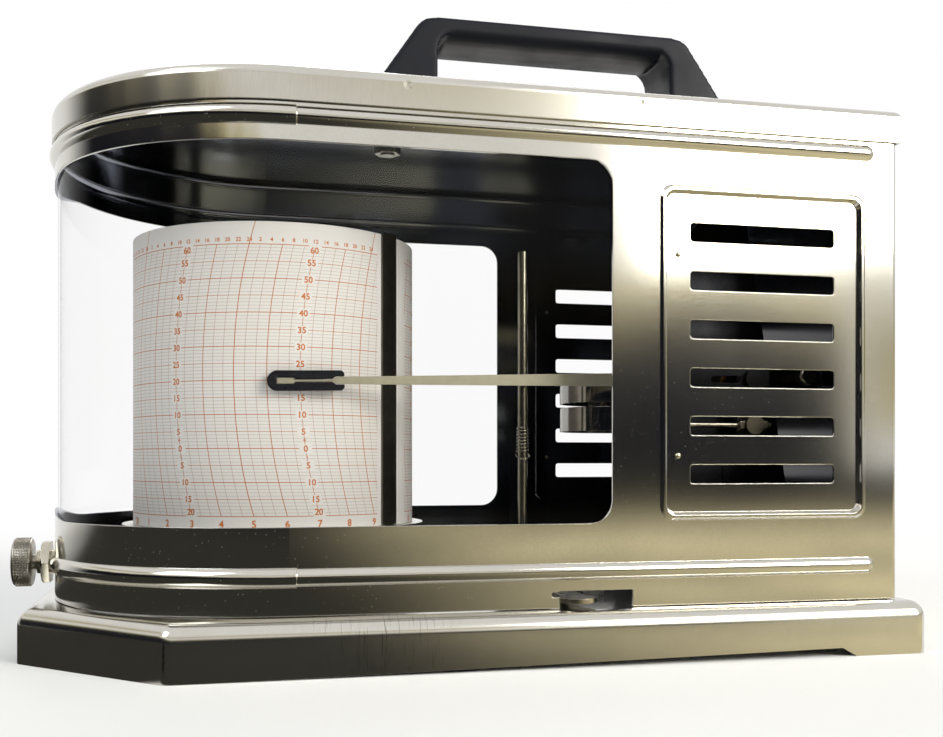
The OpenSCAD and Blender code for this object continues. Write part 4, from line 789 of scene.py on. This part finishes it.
# A clear sheet of acrylic is sprung into the cover behind the window. It is thin and clean, so
# it shows as a faint gloss and almost no tint.
clear_acrylic = bpy.data.materials.new("clear acrylic sheet")
clear_acrylic.use_nodes = True
tree = clear_acrylic.node_tree
tree.nodes.clear()
through = add_node(tree, "ShaderNodeBsdfTransparent", {"Color": linear("#FEFEFE")})
smear_place = own_place(tree)
smear = noise_at(tree, smear_place, 1000 / 30, 5.0, Distortion=0.6)
smear_rough = ranged(tree, smear, 0.0, 1.0, 0.01, 0.07)
gloss = add_node(tree, "ShaderNodeBsdfGlossy", {"Roughness": smear_rough})
shine = add_node(tree, "ShaderNodeFresnel", {"IOR": 1.2}).outputs[0]
back = add_node(tree, "ShaderNodeNewGeometry").outputs["Backfacing"]
outside = sum_of(tree, "SUBTRACT", 1.0, back)
front_shine = sum_of(tree, "MULTIPLY", shine, outside)
mixed = add_node(
    tree, "ShaderNodeMixShader", {0: front_shine, 1: through.outputs[0], 2: gloss.outputs[0]}
)
add_node(tree, "ShaderNodeOutputMaterial", {"Surface": mixed.outputs[0]})
dress(clear_acrylic, "window_pane")


# Small nickel-plated rivets stand beside the air slots. Their heads are domed by the riveting
# tool, and each is the same turned blank.
rivet_low, rivet_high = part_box("panel_rivets")
head_half, head_rise = 0.0009, 0.0005
rivet_x = (rivet_low.x + rivet_high.x) / 2
heights = [round(rivet_low.z + head_half, 5), round(rivet_high.z - head_half, 5)]
seat_points = [
    (rivet_x, y, z) for y in (rivet_low.y + head_rise, rivet_high.y - head_rise) for z in heights
]
seats = add_object("rivet_seats", mesh_from("rivet_seats", seat_points))
rivet_tree = bpy.data.node_groups.new("domed rivets", "GeometryNodeTree")
group_socket(rivet_tree, "Seats", "Geometry")
head_radius = group_socket(rivet_tree, "Head radius", "Float")
head_height = group_socket(rivet_tree, "Head height", "Float")
group_socket(rivet_tree, "Rivets", "Geometry", "OUTPUT")
given = add_node(rivet_tree, "NodeGroupInput")
ball = add_node(
    rivet_tree, "GeometryNodeMeshUVSphere", {"Segments": 24, "Rings": 12, "Radius": 1.0}
)
size = add_node(
    rivet_tree, "ShaderNodeCombineXYZ", {0: given.outputs[1], 1: given.outputs[2], 2: given.outputs[1]}
)
placed = add_node(
    rivet_tree,
    "GeometryNodeInstanceOnPoints",
    {"Points": given.outputs[0], "Instance": ball.outputs[0], "Scale": size.outputs[0]},
)
end_group(rivet_tree, placed, dull_nickel)
rivets = grown(
    seats, rivet_tree, ((head_radius, head_half), (head_height, head_rise)), "rivet_heads", dull_nickel
)
rivets.data.shade_smooth()
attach(rivets, "cover")
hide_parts("panel_rivets")


# The handle is moulded in one piece of black ABS with a fine spark-eroded grain, and screwed
# on from inside with two studs, washers and nuts.
grained_abs, tree, shader = start_finish("grained black ABS", Roughness=0.5, Specular_IOR_Level=0.2)
grip_place = own_place(tree)
# The real grain is about 0.15 mm wide; it is drawn at 0.5 mm so that it shows from a step away
grip_grain = noise_at(tree, grip_place, 1000 / 0.5, 2.0)
grip_patch = noise_at(tree, grip_place, 1000 / 18, 3.0)
grip_tint = blended(tree, grip_patch, "#080A14", "#0E111C")
tree.links.new(grip_tint, shader.inputs["Base Color"])
grip_rough = ranged(tree, grip_patch, 0.3, 0.7, 0.4, 0.58)
tree.links.new(grip_rough, shader.inputs["Roughness"])
emboss(tree, shader, grip_grain, 0.35, 0.00004)
handle = copy_of("handle", "moulded_handle", 30)
remesh = handle.modifiers.new("even skin", "REMESH")
remesh.mode = "VOXEL"
remesh.voxel_size = 0.0008
remesh.use_smooth_shade = True
eased = handle.modifiers.new("eased edges", "SMOOTH")
eased.factor = 0.5
eased.iterations = 4
mesh = applied_mesh(handle)
handle.modifiers.clear()
handle.data = mesh
give_only(mesh, grained_abs)
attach(handle, "cover")
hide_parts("handle")
dress(zinc_plate, "handle_studs", "handle_washers", "handle_nuts")


# The cover is locked by a screw through a threaded bush in its round end. The knob is turned
# from brass, cross-knurled for the fingers and nickel-plated like the bush and its nut.
dress(dull_nickel, "lock_bush", "lock_nut")
dress(zinc_plate, "lock_stem")
knob_low, knob_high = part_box("lock_knob")
knob_y, knob_z = (knob_low.y + knob_high.y) / 2, (knob_low.z + knob_high.z) / 2
knob_half = (knob_high.z - knob_low.z) / 2
knob_long = knob_high.x - knob_low.x
knurled_nickel = metal_finish(
    "worn nickel on knurled brass", "#C4C0B6", "#9C978C", 0.34, grain=(0.3, 0.3, 0.3), mottle=2.5,
    bump=0.01, edge=0.05,
)[0]
profile_shares = [
    (0.07, 0.0), (0.07, 0.78), (0.085, 0.86), (0.12, 0.93), (0.17, 0.96),
    (0.8, 0.96), (0.84, 0.93), (0.86, 0.86), (0.87, 0.5), (0.87, 0.0),
]
barrel_sides = 72
barrel = bmesh.new()
rings = []
for x_share, r_share in profile_shares:
    x, r = knob_low.x + x_share * knob_long, r_share * knob_half
    if r == 0:
        rings.append([barrel.verts.new((x, knob_y, knob_z))])
    else:
        rings.append([
            barrel.verts.new((x, knob_y + r * math.cos(a), knob_z + r * math.sin(a)))
            for a in (2 * math.pi * i / barrel_sides for i in range(barrel_sides))
        ])
for first, second in zip(rings, rings[1:]):
    for i in range(barrel_sides):
        corners = [first[i % len(first)], first[(i + 1) % len(first)],
                   second[(i + 1) % len(second)], second[i % len(second)]]
        barrel.faces.new(list(dict.fromkeys(corners)))
bmesh.ops.recalc_face_normals(barrel, faces=barrel.faces)
mesh = mesh_of(barrel, "knob_barrel")
mesh.shade_smooth()
mesh.set_sharp_from_angle(angle=math.radians(35))
knob_body = add_object("knob_barrel", mesh)
knurl_tree = bpy.data.node_groups.new("cross knurl on a barrel", "GeometryNodeTree")
group_socket(knurl_tree, "Barrel", "Geometry")
around = group_socket(knurl_tree, "Points around", "Int")
rows = group_socket(knurl_tree, "Rows", "Int")
band = group_socket(knurl_tree, "Band length", "Float")
knurl_radius = group_socket(knurl_tree, "Knurl radius", "Float")
point_size = group_socket(knurl_tree, "Point size", "Float")
middle = group_socket(knurl_tree, "Middle", "Vector")
group_socket(knurl_tree, "Knob", "Geometry", "OUTPUT")
given = add_node(knurl_tree, "NodeGroupInput")
lattice = add_node(
    knurl_tree, "GeometryNodeMeshGrid",
    {"Size X": 1.0, "Size Y": given.outputs[3], "Vertices X": given.outputs[1],
     "Vertices Y": given.outputs[2]},
)
grid_place = add_node(knurl_tree, "GeometryNodeInputPosition").outputs[0]
grid_across, grid_along, _ = parts_of(knurl_tree, grid_place)
count = sum_of(knurl_tree, "SUBTRACT", given.outputs[1], 1.0)
spread = sum_of(knurl_tree, "DIVIDE", count, given.outputs[1])
row_turn = sum_of(knurl_tree, "MULTIPLY", grid_across, spread)
turn = sum_of(knurl_tree, "MULTIPLY", row_turn, 2 * math.pi)
sine = sum_of(knurl_tree, "SINE", turn)
cosine = sum_of(knurl_tree, "COSINE", turn)
spoke = add_node(knurl_tree, "ShaderNodeCombineXYZ", {1: cosine, 2: sine}).outputs[0]
rim = add_node(
    knurl_tree, "ShaderNodeVectorMath", {0: spoke, "Scale": given.outputs[4]}, operation="SCALE"
).outputs[0]
slide = add_node(knurl_tree, "ShaderNodeCombineXYZ", {0: grid_along}).outputs[0]
moved = vector_of(knurl_tree, "ADD", vector_of(knurl_tree, "ADD", rim, slide), given.outputs[6])
captured = add_node(knurl_tree, "GeometryNodeCaptureAttribute", {0: lattice.outputs[0]})
captured.capture_items.new("VECTOR", "Spoke")
knurl_tree.links.new(spoke, captured.inputs[1])
wrapped = add_node(knurl_tree, "GeometryNodeSetPosition", {0: captured.outputs[0], "Position": moved})
tooth = add_node(
    knurl_tree, "GeometryNodeMeshCone",
    {"Vertices": 4, "Radius Top": 0.12, "Radius Bottom": 1.0, "Depth": 0.9},
)
facing_out = add_node(
    knurl_tree, "FunctionNodeAlignRotationToVector", {"Vector": captured.outputs[1]}, axis="Z",
    pivot_axis="AUTO",
)
teeth = add_node(
    knurl_tree,
    "GeometryNodeInstanceOnPoints",
    {"Points": wrapped.outputs[0], "Instance": tooth.outputs[0], "Rotation": facing_out.outputs[0],
     "Scale": given.outputs[5]},
)
joined = add_node(knurl_tree, "GeometryNodeJoinGeometry", {0: teeth.outputs[0]})
knurl_tree.links.new(given.outputs[0], joined.inputs[0])
end_group(knurl_tree, joined, knurled_nickel)
knob = grown(
    knob_body, knurl_tree,
    ((around, 90), (rows, 10), (band, 0.55 * knob_long), (knurl_radius, 0.96 * knob_half),
     (point_size, 0.0003), (middle, (knob_low.x + 0.485 * knob_long, knob_y, knob_z))),
    "knurled_knob", knurled_nickel,
)
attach(knob, "knob")
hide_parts("lock_knob")


# The floor is a pale matt sweep. Close to the object it takes the shadow, and far away it
# turns to the plain white of the backdrop.
floor_corners = [(-6, -6, 0), (6, -6, 0), (6, 6, 0), (-6, 6, 0)]
floor = add_object("floor", mesh_from("floor", floor_corners, faces=[(0, 1, 2, 3)]))
sweep_paint, tree, shader = start_finish("matt white sweep", Base_Color=linear("#F4F4F2"), Roughness=0.9)
floor_place = own_place(tree)
far_share = ranged(tree, vector_of(tree, "LENGTH", floor_place), 0.22, 0.75, kind="SMOOTHSTEP")


def rays_in(tree):
    """Whether a ray is a mirrored one, and whether it is one that shows the backdrop."""
    camera_ray, glossy_ray, clear_ray = (
        add_node(tree, "ShaderNodeLightPath").outputs["Is %s Ray" % kind]
        for kind in ("Camera", "Glossy", "Transmission")
    )
    return glossy_ray, sum_of(tree, "MAXIMUM", sum_of(tree, "MAXIMUM", camera_ray, glossy_ray), clear_ray)


glossy_ray, seen = rays_in(tree)
far_seen = sum_of(tree, "MULTIPLY", far_share, seen)
to_right, to_back, _ = parts_of(tree, floor_place)
# In front and at the left, the metal mirrors it in darker tones that no other ray shows
right_share = ranged(tree, to_right, -0.04, 0.16, kind="SMOOTHSTEP")
near_tone = blended(tree, right_share, "#3C3B36", "#FFF3C8")
patches = noise_at(tree, floor_place, 5.0, 1.0)
patch_share = ranged(tree, patches, 0.38, 0.62, 0.45, 0.0)
near_tone = blended(tree, patch_share, near_tone, "#3C3B36")
away = ranged(tree, to_back, -1.3, -0.55, 1.0, 0.0, kind="SMOOTHSTEP")
front_tone = blended(tree, away, near_tone, "#1C1D22")
in_front = ranged(tree, to_back, -0.079, -0.077, 1.0, 0.0, kind="SMOOTHSTEP")
at_left = ranged(tree, to_right, -0.1, -0.09, 1.0, 0.0, kind="SMOOTHSTEP")
not_behind = ranged(tree, to_back, 0.15, 0.5, 1.0, 0.0)
left_part = sum_of(tree, "MULTIPLY", at_left, not_behind)
front_or_left = sum_of(tree, "MAXIMUM", in_front, left_part)
mirrored = sum_of(tree, "MULTIPLY", front_or_left, glossy_ray)
far_tone = blended(tree, mirrored, (1, 1, 1, 1), front_tone)
white = add_node(tree, "ShaderNodeEmission", {"Color": far_tone, "Strength": 1.0})
far_white = sum_of(tree, "MAXIMUM", far_seen, mirrored)
swept = add_node(tree, "ShaderNodeMixShader", {0: far_white, 1: shader.outputs[0], 2: white.outputs[0]})
for node in tree.nodes:
    if node.type == "OUTPUT_MATERIAL":
        tree.links.new(swept.outputs[0], node.inputs["Surface"])
floor.data.materials.append(sweep_paint)


# Plain soft light: a large lamp high on the right in front, a weaker one on the left, one
# behind, and a pale room all round that the metal shows.
world = bpy.data.worlds.new("pale studio")
bpy.context.scene.world = world
world.use_nodes = True
tree = world.node_tree
tree.nodes.clear()
heading = add_node(tree, "ShaderNodeTexCoord").outputs["Generated"]
head_right, head_back, head_up = parts_of(tree, heading)
round_about = add_node(
    tree, "ShaderNodeMapping", {"Vector": heading, "Scale": (5.0, 5.0, 0.6)}
).outputs[0]
soft_shapes = noise_at(tree, round_about, 1.0, 2.0, Roughness=0.5)
lift = sum_of(tree, "MULTIPLY_ADD", soft_shapes, 0.16, -0.08)
rightward = ranged(tree, head_right, -0.9, 0.35, -0.24, 0.0)
far_right = ranged(tree, head_right, 0.515, 0.54, 0.0, 0.26)
both_sides = sum_of(tree, "ADD", rightward, far_right)
tilt = sum_of(tree, "ADD", both_sides, lift)
elevation = sum_of(tree, "ADD", head_up, tilt)
height_share = ranged(tree, elevation, 0.0, 0.5)
shades = add_node(tree, "ShaderNodeValToRGB", {0: height_share})
# What the metal shows, from below upwards: dark, a warm glow, white, a warm tone and white again
shades.color_ramp.elements[0].position = 0.0
shades.color_ramp.elements[0].color = linear("#1A1C23")
shades.color_ramp.elements[1].position = 0.84
shades.color_ramp.elements[1].color = (1, 1, 1, 1)
for place, hex_colour in (
    (0.16, "#222228"), (0.22, "#7E7658"), (0.28, "#DDD2A6"), (0.35, "#FFFFFF"), (0.54, "#FFFFFF"),
    (0.6, "#CDC297"), (0.72, "#BDB594"),
):
    shades.color_ramp.elements.new(place).color = linear(hex_colour)
front_share = ranged(tree, head_back, 0.3, 0.75, 1.0, 0.0, kind="SMOOTHSTEP")
room = blended(tree, front_share, (1, 1, 1, 1), shades.outputs[0])
glossy_ray, shown = rays_in(tree)
plain = blended(tree, glossy_ray, (1, 1, 1, 1), room)
level = ranged(tree, shown, 0.0, 1.0, 0.45, 1.0)
sky = add_node(tree, "ShaderNodeBackground", {"Color": plain, "Strength": level})
add_node(tree, "ShaderNodeOutputWorld", {"Surface": sky.outputs[0]})

lamp_aim = Vector((0, 0, 0.08))
for name, place, wide, high, watts, tone in (
    ("key lamp", (0.8, -1.05, 0.64), 0.75, 0.6, 17.0, (1.0, 0.97, 0.9)),
    ("fill lamp", (-1.0, -0.7, 1.15), 0.8, 0.8, 8.0, (0.88, 0.94, 1.0)),
    ("back lamp", (0.2, 1.2, 1.0), 1.0, 0.6, 8.0, (1.0, 1.0, 1.0)),
):
    lamp = bpy.data.lights.new(name, "AREA")
    lamp.shape = "RECTANGLE"
    lamp.size, lamp.size_y = wide, high
    lamp.energy = watts
    lamp.color = tone
    holder = add_object(name, lamp)
    holder.location = place
    holder.rotation_euler = (lamp_aim - Vector(place)).to_track_quat("-Z", "Y").to_euler()

# The camera stands low in front, a little left of the drum, and looks past it to the right.
lens = bpy.data.cameras.new("camera")
lens.lens = 43.003
lens.sensor_width = 36
lens.shift_y = 0.0971
lens.clip_start = 0.01
camera = add_object("camera", lens)
camera.location = (-0.0782, -0.3905, 0.0606)
camera.rotation_euler = (math.radians(90), 0, math.radians(-12.95))
bpy.context.scene.camera = camera
bpy.context.scene.view_settings.view_transform = "Standard"
